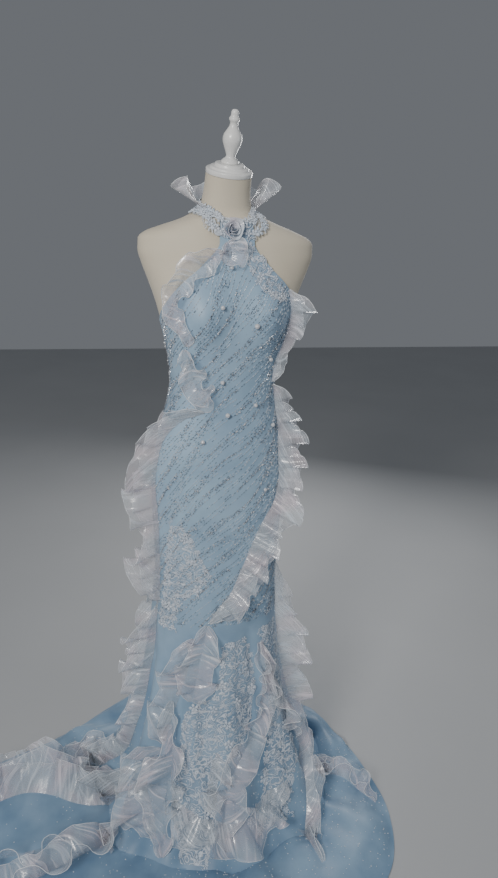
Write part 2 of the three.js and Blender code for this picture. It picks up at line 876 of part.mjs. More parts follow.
// A layer over the panel's own facets, cut to the lace's outline.
function lacePiece({ name, rows }) {
  const [top, bottom] = [rows[0].level, rows.at(-1).level];
  const [low, high] = [
    Math.min(...rows.map((row) => row.from)),
    Math.max(...rows.map((row) => row.to)),
  ];
  const all = [...bodiceLevels, ...hipLevels, bodyEnd, ...hangingLevels, ...floorLevels];
  const start = all.findLastIndex((level) => level >= top);
  const levels = all.slice(Math.max(start, 0), all.findIndex((level) => level <= bottom) + 1);
  const own = levels.map(ownAngles);
  const first = Math.min(...own.map((row) => row.findLastIndex((angle) => angle <= low)));
  const after = Math.max(...own.map((row) => row.filter((angle) => angle < high).length));
  const layer = (lift) =>
    own.map((row, i) =>
      row.slice(Math.max(first, 0), after + 1).map((angle) => onGown(angle, levels[i], lift)),
    );
  const cutter = (lift) =>
    rows.map(({ level, from, to }) =>
      spread(from, to, 4).map((angle) => outside(angle, level, lift)),
    );
  const whole = kernelSolid(wall("layer", layer(layGap), layer(layGap + laceWall), lace));
  const piece = whole.intersect(kernelSolid(wall("cutter", cutter(-9), cutter(14), lace)));
  const [body] = piece.decompose().sort((one, other) => other.volume() - one.volume());
  const { vertProperties, triVerts } = body.getMesh();
  const geometry = new THREE.BufferGeometry();
  geometry.setAttribute("position", new THREE.BufferAttribute(vertProperties, 3));
  geometry.setIndex(new THREE.BufferAttribute(triVerts, 1));
  geometry.computeVertexNormals();
  const mesh = new THREE.Mesh(geometry, lace);
  mesh.name = name;
  return mesh;
}

// Pearls sewn on the front, each resting on the cloth.
const pearls = table("level angle radius", [
  [1336, -3, 4], [1262, -12, 4.5], [1230, 14, 5.5], [1158, 38, 4.5], [1112, -10, 4.5],
  [1060, 22, 4.5], [1042, -4, 5], [1010, 44, 4.5], [985, -24, 4.5], [868, 30, 4],
]);

function pearlBead(row, i) {
  const geometry = new THREE.SphereGeometry(row.radius, 8, 5);
  const mesh = new THREE.Mesh(geometry, pearl);
  mesh.position.copy(onGown(row.angle, row.level, row.radius + 0.6));
  mesh.name = "pearl_" + String(i + 1).padStart(2, "0");
  return mesh;
}

// The centre-back placket that covers the fastening, and the button at the nape.
function backPlacket() {
  const levels = [1176, 1140, 1095, 1050, 1000, 940, 880];
  const grid = (lift) =>
    levels.map((level) => spread(177, 183, 3).map((angle) => outside(angle, level, lift)));
  return wall("back_placket", grid(layGap), grid(layGap + laceWall), satin);
}

function napeButton() {
  const mesh = new THREE.Mesh(new THREE.SphereGeometry(6, 12, 8), pearl);
  mesh.position.copy(outside(180, 1431, 7.1));
  mesh.name = "nape_button";
  return mesh;
}

// The organza rose at the front of the collar: three curled petals round a bud.
function collarRose() {
  const group = new THREE.Group();
  const centre = outside(-3, 1405, 13.9);
  const petals = table("radius tall turn root", [
    [17, 10, 0, 6],
    [11, 13, 60, 7.5],
    [5, 15, 120, 9],
  ]);
  petals.forEach(({ radius, tall, turn, root }, i) => {
    const ring = (inset, height) =>
      spread(0, 324, 9).map((angle) => {
        const bend = radius * (1 + 0.12 * Math.sin(radians(5 * angle))) - inset;
        const at = radians(angle + turn);
        return new THREE.Vector3(bend * Math.cos(at), -height, bend * Math.sin(at)).add(centre);
      });
    const near = [ring(1.5, -root), ring(0.6, tall * 0.4), ring(-1.5, tall)];
    const far = [ring(0.3, -root), ring(-0.6, tall * 0.4), ring(-2.7, tall)];
    group.add(wall("rose_petal_" + (i + 1), near, far, organza));
  });
  return group;
}

const gown = new THREE.Group();
gown.add(formTorso(), neckTopPieces(), standPieces());
gown.add(frontPanel(), backPanel("back_left", 90, 180), backPanel("back_right", 180, 270));
gown.add(...gores.map(tailGore));
gown.add(collarBand(), collarRuffle(), collarRose());
gown.add(...ruffles.map(ruffle));
gown.add(...laces.map(lacePiece));
gown.add(...pearls.map(pearlBead));
gown.add(backPlacket(), napeButton());

export default gown;
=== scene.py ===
# Looks of a halter mermaid evening gown on a dress form.
# A place on the gown is an angle in degrees round the figure (0 at the centre front, 90 at the
# wearer's left) and a level in millimetres (above 0 a height, 0 to -100 along the floor to the hem).
import math

import bpy
import numpy as np
from mathutils import Matrix, Vector


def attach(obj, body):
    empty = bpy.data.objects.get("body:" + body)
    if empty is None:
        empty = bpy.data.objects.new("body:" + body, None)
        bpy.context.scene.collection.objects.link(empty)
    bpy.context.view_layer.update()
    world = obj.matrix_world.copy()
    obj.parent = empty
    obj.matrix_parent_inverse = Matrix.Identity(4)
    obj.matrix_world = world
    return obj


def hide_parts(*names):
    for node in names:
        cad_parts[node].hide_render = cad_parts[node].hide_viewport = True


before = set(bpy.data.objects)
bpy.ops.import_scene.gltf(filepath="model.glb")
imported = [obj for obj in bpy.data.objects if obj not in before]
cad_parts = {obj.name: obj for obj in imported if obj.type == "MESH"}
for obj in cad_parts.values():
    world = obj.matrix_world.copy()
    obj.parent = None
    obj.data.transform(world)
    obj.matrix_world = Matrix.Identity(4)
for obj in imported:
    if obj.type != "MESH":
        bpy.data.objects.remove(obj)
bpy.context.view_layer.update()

mm = 0.001
scene = bpy.context.scene

# Levels where the form or the cut of the gown changes.
formTop = 1508
halterTop = 1422
armhole = 1228
formEnd = 762
tailSeam = 520

# Values that a user may change, one dictionary for each kind of piece.
cameraFacts = dict(place=(-0.352, -1.314, 1.42), pitch=-18.6, yaw=-17.7, roll=3.0, lens=26.24)
clothFacts = dict(ease=0.9, wall=1.8, seam=0.1, skin=0.5)
satinFacts = dict(colour=(0.39, 0.55, 0.7), shade=(0.13, 0.23, 0.36), roughness=0.48)
wrinkleFacts = dict(push=6.5, coarse=5.2, fine=1.8, hem=3, body=0.9)
ruffleFacts = dict(lobes=0.6, least=0.78, scallop=0.3, taper=9, widest=90)
innerFacts = dict(turn=2.3, lean=9, mostLean=66, perWave=22, rows=9)
stageFacts = dict(size=6.0, below=0.0008, world=(0.62, 0.66, 0.72), strength=0.24)
organzaFacts = dict(
    colour=(0.82, 0.89, 0.96), blush=(0.94, 0.87, 0.93), alpha=0.14, highlightStreak=0.8, roughness=0.16, hem=0.0006
)
laceFacts = dict(
    colour=(0.84, 0.89, 0.96), threadShare=0.3, cell=0.0032,
    flower=0.022, flowerSpacing=46, sprig=0.034, sprigSpacing=38, edgeSpacing=19,
)
formFacts = dict(colour=(0.73, 0.66, 0.53), roughness=0.72)
paintFacts = dict(colour=(0.86, 0.86, 0.85), roughness=0.3)
beadFacts = dict(length=0.0044, radius=0.0008, step=0.0064, clusterRadius=0.0012, band=6.5, gemStep=0.8)
pearlFacts = dict(colour=(0.6, 0.61, 0.63), small=0.0019)
glitterFacts = dict(radius=0.0013, count=4200, laceSpacing=24)

# Shape of the figure.


def smoothRead(keys, values, at):
    keys, values = np.asarray(keys, float), np.asarray(values, float)
    if keys[0] > keys[-1]:
        keys, values = keys[::-1], values[::-1]
    gaps = np.diff(keys)
    slope = np.diff(values) / gaps
    product = slope[:-1] * slope[1:]
    total = slope[:-1] + slope[1:]
    soft = np.where(product > 0, 2 * product / np.where(total == 0, 1, total), 0)
    slopes = np.concatenate([[slope[0]], soft, [slope[-1]]])
    at = np.asarray(at, float)
    i = np.clip(np.searchsorted(keys, at, side="right") - 1, 0, len(gaps) - 1)
    t = np.clip((at - keys[i]) / gaps[i], 0, 1)
    t2, t3 = t * t, t * t * t
    return (
        (2 * t3 - 3 * t2 + 1) * values[i]
        + (t3 - 2 * t2 + t) * gaps[i] * slopes[i]
        + (3 * t2 - 2 * t3) * values[i + 1]
        + (t3 - t2) * gaps[i] * slopes[i + 1]
    )


def makeTable(columns, rows):
    return dict(zip(columns.split(), np.array(rows, float).T))


sections = makeTable(
    "level halfWidth front back shiftX shiftY tilt folds",
    [
        (1508, 44, 44, 44, -8, -19, 16, 0),
        (1484, 45, 45, 45, -8, -12, 16, 0),
        (1460, 48, 48, 48, -7, -5, 14, 0),
        (1445, 55, 53, 53, -5, -1, 10, 0),
        (1433, 73, 58, 57, -3, 0, 5, 0),
        (1422, 98, 62, 60, -1, 0, 1, 0),
        (1408, 138, 65, 61, 0, 0, 0, 0),
        (1396, 168, 68, 63, 0, 0, 0, 0),
        (1384, 181, 71, 65, 0, 0, 0, 0),
        (1363, 182, 75, 69, 0, 0, 0, 0),
        (1335, 174, 81, 75, 0, 0, 0, 0),
        (1305, 162, 88, 82, 0, 0, 0, 0),
        (1265, 147, 95, 88, 0, 0, 0, 0),
        (1225, 135, 97, 87, 0, 0, 0, 0),
        (1180, 123, 93, 81, 0, 0, 0, 0),
        (1140, 114, 87, 73, 0, 0, 0, 0),
        (1095, 110, 84, 68, 0, 0, 0, 0),
        (1050, 116, 86, 74, 0, 0, 0, 0),
        (1000, 129, 90, 88, 0, 0, 0, 0),
        (940, 141, 94, 102, 0, 0, 0, 0),
        (870, 148, 96, 108, 0, 0, 0, 0),
        (800, 146, 94, 104, 0, 0, 0, 0),
        (735, 143, 93, 100, 0, 0, 0, 0),
        (650, 142, 95, 100, 0, 0, 0, 0),
        (560, 147, 102, 108, 0, 0, 0, 2),
        (480, 153, 112, 118, 2, 0, 0, 5),
        (400, 161, 126, 134, 4, 0, 0, 9),
        (300, 177, 150, 160, 7, 0, 0, 14),
        (200, 200, 180, 194, 10, 0, 0, 18),
        (100, 232, 216, 236, 13, 0, 0, 20),
        (40, 264, 248, 268, 15, 0, 0, 20),
        (0, 300, 282, 300, 16, 0, 0, 18),
    ],
)
hemline = makeTable(
    "angle reach",
    [
        (-180, 400),
        (-150, 385),
        (-132, 400),
        (-118, 455),
        (-106, 580),
        (-92, 800),
        (-77, 950),
        (-58, 890),
        (-41, 720),
        (-18, 560),
        (10, 520),
        (43, 515),
        (60, 485),
        (80, 430),
        (105, 395),
        (140, 390),
        (180, 400),
    ],
)
halterEdge = makeTable(
    "level spread",
    [
        (1422, 16),
        (1405, 11),
        (1383, 9),
        (1340, 20),
        (1310, 35),
        (1285, 50),
        (1260, 66),
        (1240, 81),
        (1228, 90),
    ],
)
bust = dict(apart=70, level=1240, wide=40, tall=52, full=24)
folds = dict(coarse=7, fine=11, turn=40, ripple=26)


def foldWave(angle):
    a = np.radians(angle)
    turn = math.radians(folds["turn"])
    return 0.62 * np.cos(folds["coarse"] * a + turn) + 0.38 * np.cos(folds["fine"] * a - turn)


def smoothStep(value, low, high):
    t = np.clip((value - low) / (high - low), 0, 1)
    return t * t * (3 - 2 * t)


def figure(angle, level, folded=True):
    angle, level = np.broadcast_arrays(np.asarray(angle, float), np.asarray(level, float))
    height = np.maximum(level, 0)
    at = {
        name: smoothRead(sections["level"], values, height)
        for name, values in sections.items()
        if name != "level"
    }
    s, c = np.sin(np.radians(angle)), np.cos(np.radians(angle))
    squared = lambda v: np.sign(v) * np.abs(v) ** (2 / 2.25)
    x = at["halfWidth"] * squared(s)
    y = -np.where(c > 0, at["front"], at["back"]) * squared(c)
    across = (np.abs(x) - bust["apart"]) / bust["wide"]
    along = (height - bust["level"]) / bust["tall"]
    mound = bust["full"] * np.exp(-across * across - along * along)
    y = y - np.where(c > 0, mound, 0)
    wave = foldWave(angle) if folded else 0 * angle
    pushed = 1 + at["folds"] * wave / np.hypot(x, y)
    tilt = np.radians(at["tilt"])
    place = np.stack(
        [
            x * pushed + at["shiftX"],
            y * pushed * np.cos(tilt) + at["shiftY"],
            height + y * np.sin(tilt),
        ],
        axis=-1,
    )
    share = np.clip(-level / 100, 0, 1)
    turned = (angle + 180) % 360 - 180
    reach = smoothRead(hemline["angle"], hemline["reach"], turned)
    hem = np.stack([reach * s, -reach * c, 0 * c], axis=-1)
    ripple = folds["ripple"] * np.sin(np.pi * share**0.8) * (0.5 + 0.5 * wave)
    onFloor = place + (hem - place) * share[..., None]
    onFloor[..., 2] = np.maximum(0, ripple)
    return np.where((level < 0)[..., None], onFloor, place)


def figureNormal(angle, level, folded=True):
    step = 0.4
    across = figure(angle + step, level, folded) - figure(angle - step, level, folded)
    down = figure(angle, level - step, folded) - figure(angle, level + step, folded)
    normal = np.cross(down, across)
    return normal / np.linalg.norm(normal, axis=-1, keepdims=True)


# Wrinkles of the satin and a push outward on the tail, in millimetres out of the smooth shape.
def wrinkle(angle, level):
    a = np.radians(angle)
    deep = wrinkleFacts
    hang = smoothStep(-level, -600, -160) * smoothStep(level, -99, -80)
    fine = np.sin(17 * a + 0.009 * level + 1.3 * np.sin(5 * a + 0.01 * level)) * deep["coarse"]
    fine += np.sin(29 * a - 0.014 * level + 0.8 * np.sin(3 * a)) * deep["fine"]
    hemBreak = np.exp(-(((level - 26) / 30) ** 2)) * np.sin(9 * a + 0.05 * level) * deep["hem"]
    pull = np.sin(0.055 * level + 3.1 * a) * np.sin(2.3 * a + 0.4) * 0.8
    pull += np.sin(0.021 * level - 5 * a + 1) * 0.6
    floorPart = np.sin(-level * 0.09 + 3 * a) * 2 + np.sin(-level * 0.17 - 4 * a) * 1
    floorPart = np.where(level < 0, floorPart, 0)
    body = smoothStep(level, 560, 700) * smoothStep(-level, -1190, -1090)
    return hang * (fine + hemBreak + floorPart + deep["push"]) + body * (pull + deep["body"])


def inside(angle, level):
    angle, level = np.broadcast_arrays(np.asarray(angle, float), np.asarray(level, float))
    ease = clothFacts["ease"] * smoothStep(level, 700, 760)
    out = (ease + wrinkle(angle, level))[..., None]
    place = figure(angle, level) + figureNormal(angle, level) * out
    place[..., 2] = np.maximum(place[..., 2], 0.2)
    return place


def outside(angle, level, lift=0.0):
    angle, level = np.broadcast_arrays(np.asarray(angle, float), np.asarray(level, float))
    out = np.asarray(clothFacts["wall"] + lift)
    return inside(angle, level) + figureNormal(angle, level) * np.broadcast_to(
        out, angle.shape
    )[..., None]


# Meshes.


def makeObject(name, points, faces, material, uv=None, sharp=50):
    mesh = bpy.data.meshes.new(name)
    mesh.from_pydata(np.asarray(points).tolist(), [], [tuple(face) for face in faces])
    mesh.polygons.foreach_set("use_smooth", [True] * len(mesh.polygons))
    if uv is not None:
        layer = mesh.uv_layers.new(name="UVMap")
        corners = np.zeros(len(mesh.loops), int)
        mesh.loops.foreach_get("vertex_index", corners)
        layer.data.foreach_set("uv", np.asarray(uv)[corners].ravel())
    mesh.update()
    mesh.set_sharp_from_angle(angle=math.radians(sharp))
    mesh.materials.append(material)
    made = bpy.data.objects.new(name, mesh)
    scene.collection.objects.link(made)
    return made


def signedVolume(points, faces):
    points = np.asarray(points)
    total = 0.0
    for face in faces:
        a = points[face[0]]
        for i in range(1, len(face) - 1):
            total += np.dot(a, np.cross(points[face[i]], points[face[i + 1]]))
    return total


def gridFaces(rows, columns, wraps=False):
    i, j = np.meshgrid(
        np.arange(rows - 1), np.arange(columns if wraps else columns - 1), indexing="ij"
    )
    k = (j + 1) % columns
    return np.stack(
        [i * columns + j, i * columns + k, (i + 1) * columns + k, (i + 1) * columns + j],
        axis=-1,
    ).reshape(-1, 4)


# A closed wall between two grids of points, with lengths along the cloth as its UV, in metres.
def wallParts(near, far):
    rows, columns = near.shape[:2]
    count = rows * columns
    points = np.concatenate([near.reshape(-1, 3), far.reshape(-1, 3)])
    sheet = gridFaces(rows, columns)
    faces = [sheet, sheet[:, ::-1] + count]
    ring = np.arange(columns - 1)
    after = ring + 1
    end = (rows - 1) * columns
    faces.append(np.stack([after, ring, ring + count, after + count], -1))
    faces.append(np.stack([ring + end, after + end, after + end + count, ring + end + count], -1))
    rail = np.arange(rows - 1) * columns
    nextRail = rail + columns
    faces.append(np.stack([rail, nextRail, nextRail + count, rail + count], -1))
    rail, nextRail = rail + columns - 1, nextRail + columns - 1
    faces.append(np.stack([nextRail, rail, rail + count, nextRail + count], -1))
    faces = np.concatenate(faces)
    a, b, c, d = (points[faces[:, i]] for i in range(4))
    volume = (a * np.cross(b, c)).sum() + (a * np.cross(c, d)).sum()
    if volume < 0:
        faces = faces[:, ::-1]
    steps = np.linalg.norm(np.diff(near, axis=1), axis=-1)
    u = np.concatenate([np.zeros((rows, 1)), np.cumsum(steps, axis=1)], axis=1)
    u -= u[:, columns // 2][:, None]
    drops = np.linalg.norm(np.diff(near, axis=0), axis=-1).mean(axis=1)
    v = np.concatenate([[0], np.cumsum(drops)])[:, None] + 0 * u
    uv = np.stack([u, v], -1).reshape(-1, 2)
    down, right = near[1:, :-1] - near[:-1, :-1], near[:-1, 1:] - near[:-1, :-1]
    facts = dict(
        area=float(np.linalg.norm(np.cross(down, right), axis=-1).sum()),
        width=float(steps.sum(axis=1).max()),
        length=float(np.linalg.norm(np.diff(near, axis=0), axis=-1).sum(axis=0).max()),
    )
    return points, faces, np.concatenate([uv, uv]), facts


# Sets a piece on the root body and hides the nodes that it stands for.
def settle(made, slotName, *nodes):
    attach(made, "root")
    if nodes:
        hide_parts(*nodes)


def clothPiece(name, near, far, material, slotName, nodes):
    points, faces, uv, facts = wallParts(near * mm, far * mm)
    made = makeObject(name, points, faces.tolist(), material, uv)
    settle(made, slotName, *nodes)
    flat = (facts["width"], facts["length"])
    min(facts["area"], flat[0] * flat[1])


def joined(parts):
    points, faces, start = [], [], 0
    for somePoints, someFaces in parts:
        points.append(np.asarray(somePoints, float))
        faces += [tuple(int(i) + start for i in face) for face in someFaces]
        start += len(somePoints)
    return np.concatenate(points), faces


# A tube along a path of points.
def tubeParts(path, radius, sides=4, closed=False):
    path = np.asarray(path, float)
    ahead = np.roll(path, -1, axis=0) - np.roll(path, 1, axis=0)
    if not closed:
        ahead[0], ahead[-1] = path[1] - path[0], path[-1] - path[-2]
    ahead /= np.linalg.norm(ahead, axis=1, keepdims=True) + 1e-12
    guide = np.where(np.abs(ahead[:, 2:3]) > 0.9, [[1.0, 0, 0]], [[0, 0, 1.0]])
    side = np.cross(ahead, guide)
    side /= np.linalg.norm(side, axis=1, keepdims=True) + 1e-12
    up = np.cross(side, ahead)
    turns = np.arange(sides) * 2 * math.pi / sides
    ring = (
        path[:, None]
        + radius * np.cos(turns)[None, :, None] * side[:, None]
        + radius * np.sin(turns)[None, :, None] * up[:, None]
    )
    count = len(path)
    faces = []
    for i in range(count if closed else count - 1):
        k = (i + 1) % count
        for j in range(sides):
            n = (j + 1) % sides
            faces.append((i * sides + j, i * sides + n, k * sides + n, k * sides + j))
    if not closed:
        faces.append(tuple(reversed(range(sides))))
        faces.append(tuple(range((count - 1) * sides, count * sides)))
    points = ring.reshape(-1, 3)
    if signedVolume(points, faces) < 0:
        faces = [face[::-1] for face in faces]
    return points, faces


def turnedParts(profile, sides):
    points, rows = [], []
    for radius, height in profile:
        if radius < 1e-9:
            rows.append([len(points)])
            points.append((0, 0, height))
        else:
            rows.append(list(range(len(points), len(points) + sides)))
            for i in range(sides):
                turn = 2 * math.pi * i / sides
                points.append((radius * math.cos(turn), radius * math.sin(turn), height))
    faces = []
    for low, high in zip(rows, rows[1:]):
        for i in range(sides):
            k = (i + 1) % sides
            if len(low) == 1 and len(high) > 1:
                faces.append((low[0], high[k], high[i]))
            elif len(high) == 1 and len(low) > 1:
                faces.append((low[i], low[k], high[0]))
            elif len(low) > 1:
                faces.append((low[i], low[k], high[k], high[i]))
    if signedVolume(points, faces) < 0:
        faces = [face[::-1] for face in faces]
    return points, faces


# Materials.


class Field:
    def __init__(self, tree, socket=None):
        self.tree = tree
        self.socket = socket

    def node(self, kind, output=0, inputs=None, **settings):
        made = self.tree.nodes.new(kind)
        for name, value in settings.items():
            setattr(made, name, value)
        for name, value in (inputs or {}).items():
            if isinstance(value, Field):
                self.tree.links.new(value.socket, made.inputs[name])
            else:
                made.inputs[name].default_value = value
        return Field(self.tree, made.outputs[output])

    def math(self, operation, *others):
        return self.node("ShaderNodeMath", 0, dict(enumerate((self, *others))), operation=operation)

    def __add__(self, other):
        return self.math("ADD", other)

    def __sub__(self, other):
        return self.math("SUBTRACT", other)

    def __mul__(self, other):
        return self.math("MULTIPLY", other)

    def scaled(self, x, y, z):
        return self.node("ShaderNodeVectorMath", 0, {0: self, 1: (x, y, z)}, operation="MULTIPLY")

    def noise(self, scale, detail=3.0, roughness=0.55):
        inputs = {"Vector": self, "Scale": scale, "Detail": detail, "Roughness": roughness}
        return self.node("ShaderNodeTexNoise", 0, inputs)

    def blend(self, low, high):
        inputs = {0: self, 6: (*low, 1) if isinstance(low, tuple) else low}
        inputs[7] = (*high, 1) if isinstance(high, tuple) else high
        return self.node("ShaderNodeMix", 2, inputs, data_type="RGBA")

    def between(self, low, high):
        inputs = {0: self, 1: low, 2: high, 3: 0.0, 4: 1.0}
        return self.node("ShaderNodeMapRange", 0, inputs, clamp=True)

    def bump(self, strength, distance):
        return self.node(
            "ShaderNodeBump", 0, {"Strength": strength, "Distance": distance, "Height": self}
        )


class Finish:
    def __init__(self, name, **constants):
        self.material = bpy.data.materials.new(name)
        self.material.use_nodes = True
        self.tree = self.material.node_tree
        self.shader = self.tree.nodes["Principled BSDF"]
        for socket, value in constants.items():
            self.shader.inputs[socket.replace("_", " ")].default_value = value
        root = Field(self.tree)
        self.object = root.node("ShaderNodeTexCoord", "Object")
        self.uv = root.node("ShaderNodeTexCoord", "UV")

    def feed(self, socket, field):
        self.tree.links.new(field.socket, self.shader.inputs[socket])
        return self


def satinFinish():
    made = Finish("satin", Sheen_Weight=0.35, Sheen_Roughness=0.35, Sheen_Tint=(0.85, 0.92, 1, 1))
    cloud = made.object.noise(8, 2)
    threads = made.uv.scaled(900, 2600, 1).noise(1, 2)
    mottle = made.object.noise(60, 3)
    # Darker towards the hem, by height: partly the gown's deeper blue there, partly painted shade where
    # the light falls off.
    axes = made.object.node("ShaderNodeSeparateXYZ", "Z", {0: made.object})
    light = axes.between(-0.1, 0.9) * 0.62 + 0.2
    tone = (cloud.between(0.35, 0.65) * 0.45 + mottle * 0.2 + light - 0.3).between(0, 1)
    tone = tone.blend(satinFacts["shade"], satinFacts["colour"])
    rough = threads * 0.16 + (satinFacts["roughness"] - 0.08)
    bump = (threads * 0.4 + mottle * 0.6).bump(0.25, 0.0006)
    made.feed("Base Color", tone).feed("Roughness", rough).feed("Normal", bump)
    return made.material


def organzaFinish(name="organza", thicker=0.0):
    made = Finish(
        name, IOR=1.5, Specular_IOR_Level=1.0, Coat_Weight=1.0, Coat_Roughness=0.1
    )
    shift = made.object.noise(14, 1)
    weave = made.uv.scaled(2400, 2400, 1).noise(1, 1)
    crush = made.uv.noise(16, 2, 0.5)
    pleats = made.uv.scaled(95, 7, 1).noise(1, 2)
    wide = made.uv.scaled(26, 9, 1).noise(1, 1)
    tone = shift.between(0.4, 0.65).blend(organzaFacts["colour"], organzaFacts["blush"])
    # More opaque, paler streaks along the pleats: painted highlights.
    shine = pleats.between(0.5, 0.72) * wide.between(0.35, 0.6)
    alpha = weave * 0.1 + shine * organzaFacts["highlightStreak"] + (organzaFacts["alpha"] + thicker)
    rough = crush * 0.2 + (organzaFacts["roughness"] - 0.06)
    bump = (crush * 0.45 + pleats * 0.55).bump(0.55, 0.006)
    made.feed("Base Color", tone).feed("Roughness", rough)
    made.feed("Alpha", alpha.between(0.0, 1.0)).feed("Normal", bump)
    return made.material


# A net of diamond cells under the corded flowers.
def netFinish():
    made = Finish("lace_net", Sheen_Weight=0.2, Roughness=0.55)
    parts = made.uv.node("ShaderNodeSeparateXYZ", "X", {0: made.uv})
    other = Field(made.tree, parts.socket.node.outputs["Y"])
    wave = lambda value: (value * (2 * math.pi / laceFacts["cell"])).math("SINE").math("ABSOLUTE")
    one, two = wave(parts + other * 0.8), wave(parts - other * 0.8)
    thread = one.math("MINIMUM", two)
    scroll = made.uv.noise(34, 1, 0.4)
    curl = (scroll * 30).math("SINE").math("ABSOLUTE").math("LESS_THAN", 0.34)
    leaf = made.uv.noise(58, 1)
    dense = leaf.between(0.585, 0.6)
    vein = (leaf * 90).math("SINE").math("ABSOLUTE").between(0.2, 0.7)
    net = thread.math("LESS_THAN", laceFacts["threadShare"])
    alpha = net * 0.22 + curl * 0.85 + dense * (vein * 0.5 + 0.2)
    tone = made.object.noise(220, 2).blend((0.72, 0.8, 0.9), laceFacts["colour"])
    made.feed("Alpha", alpha.between(0.0, 1.0)).feed("Base Color", tone)
    made.feed("Normal", (net * 0.4 + curl + dense * 0.5).bump(0.5, 0.0009))
    return made.material


def cordFinish():
    made = Finish("lace_cord", Sheen_Weight=0.3, Specular_IOR_Level=0.6)
    twist = made.object.noise(1400, 2)
    tone = made.object.noise(30, 2).between(0.3, 0.7).blend((0.62, 0.72, 0.84), laceFacts["colour"])
    made.feed("Base Color", tone).feed("Roughness", twist * 0.25 + 0.4)
    made.feed("Normal", twist.bump(0.35, 0.0004))
    return made.material


def hemFinish():
    made = Finish("hem", Sheen_Weight=0.3, Specular_IOR_Level=0.7)
    tone = made.object.noise(60, 2).between(0.3, 0.7).blend((0.8, 0.85, 0.9), (0.93, 0.95, 0.97))
    made.feed("Base Color", tone).feed("Roughness", made.object.noise(400, 2) * 0.2 + 0.22)
    return made.material


def beadFinish(name="silver_bead", low=(0.72, 0.76, 0.82), high=(1, 1, 1), metal=0.3):
    made = Finish(name, Coat_Weight=0.8, Coat_Roughness=0.06, Metallic=metal)
    tint = made.object.noise(420, 1).between(0.4, 0.6).blend(low, high)
    made.feed("Base Color", tint).feed("Roughness", made.object.noise(300, 1) * 0.25 + 0.12)
    return made.material


def pearlFinish():
    made = Finish("pearl", Coat_Weight=1.0, Coat_Roughness=0.08, Specular_IOR_Level=0.6)
    lustre = made.object.noise(220, 2).between(0.35, 0.65).blend((0.7, 0.72, 0.75), pearlFacts["colour"])
    made.feed("Base Color", lustre).feed("Roughness", made.object.noise(500, 2) * 0.12 + 0.14)
    return made.material


def formFinish():
    made = Finish("form_cover", Sheen_Weight=0.2, Specular_IOR_Level=0.35)
    weave = made.uv.scaled(700, 700, 1).noise(1, 2)
    cloud = made.object.noise(6, 3)
    tone = cloud.between(0.3, 0.7).blend((0.66, 0.59, 0.46), formFacts["colour"])
    made.feed("Base Color", tone).feed("Roughness", weave * 0.14 + (formFacts["roughness"] - 0.07))
    made.feed("Normal", (weave * 0.5 + cloud * 0.5).bump(0.18, 0.0008))
    return made.material


def paintFinish(name="white_paint", metallic=0.0):
    made = Finish(name, Coat_Weight=0.35, Coat_Roughness=0.2, Metallic=metallic)
    brush = made.object.noise(90, 3)
    tone = brush.between(0.3, 0.7).blend((0.82, 0.82, 0.8), paintFacts["colour"])
    made.feed("Base Color", tone).feed("Roughness", brush * 0.14 + (paintFacts["roughness"] - 0.06))
    made.feed("Normal", brush.bump(0.12, 0.0006))
    return made.material


def steelFinish():
    made = Finish("steel_tube", Metallic=1.0)
    brushed = made.object.scaled(900, 900, 12).noise(1, 2)
    made.feed("Base Color", brushed.blend((0.5, 0.51, 0.53), (0.66, 0.67, 0.69)))
    made.feed("Roughness", brushed * 0.2 + 0.24).feed("Normal", brushed.bump(0.2, 0.0003))
    return made.material


satin, organza, net, cord = satinFinish(), organzaFinish(), netFinish(), cordFinish()
hem, rosette = hemFinish(), organzaFinish("organza_rosette", 0.6)
bead, pearl, linen = beadFinish(), pearlFinish(), formFinish()
paint, steel = paintFinish(), steelFinish()
smoke = beadFinish("smoke_bead", (0.2, 0.23, 0.28), (0.5, 0.55, 0.62), 0.6)
glint = beadFinish("glint", (0.9, 0.92, 0.95), (1, 1, 1), 0.0)
crystal = beadFinish("crystal", (0.34, 0.39, 0.46), (1, 1, 1), 0.3)
print("materials made")

# The dress form and its stand.


def refinish(material, *nodes):
    for node in nodes:
        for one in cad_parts[node].material_slots:
            one.material = material


def makeForm():
    levels = np.concatenate(
        [np.linspace(formTop, 1392, 48), np.linspace(1389, 1100, 60), np.linspace(1092, formEnd, 34)]
    )
    angles = np.arange(0, 360, 4.0)
    underCloth = 1.4
    a, l = np.meshgrid(angles, levels)
    beyond = np.abs((a + 180) % 360 - 180) - smoothRead(
        halterEdge["level"], halterEdge["spread"], l
    )
    onFront = np.where(l > halterTop, 0, underCloth * (1 - smoothStep(beyond, 1, 8)))
    covered = np.where(l < armhole, underCloth, onFront)
    ring = figure(a, l, False) - figureNormal(a, l, False) * covered[..., None]
    rows, columns = ring.shape[:2]
    faces = gridFaces(rows, columns, True).tolist()
    points = ring.reshape(-1, 3).tolist()
    for start, flip in ((0, True), ((rows - 1) * columns, False)):
        points.append(ring.reshape(-1, 3)[start : start + columns].mean(axis=0).tolist())
        for j in range(columns):
            pair = (start + j, start + (j + 1) % columns)
            faces.append((len(points) - 1, *(pair if not flip else pair[::-1])))
    points = np.array(points) * mm
    if signedVolume(points, faces) < 0:
        faces = [face[::-1] for face in faces]
    u = np.radians(np.concatenate([a.ravel(), [0, 0]])) * 0.13
    v = np.concatenate([l.ravel(), [formTop, formEnd]]) * mm
    settle(makeObject("form_body", points, faces, linen, np.stack([u, v], -1)), "linen", "form_torso")


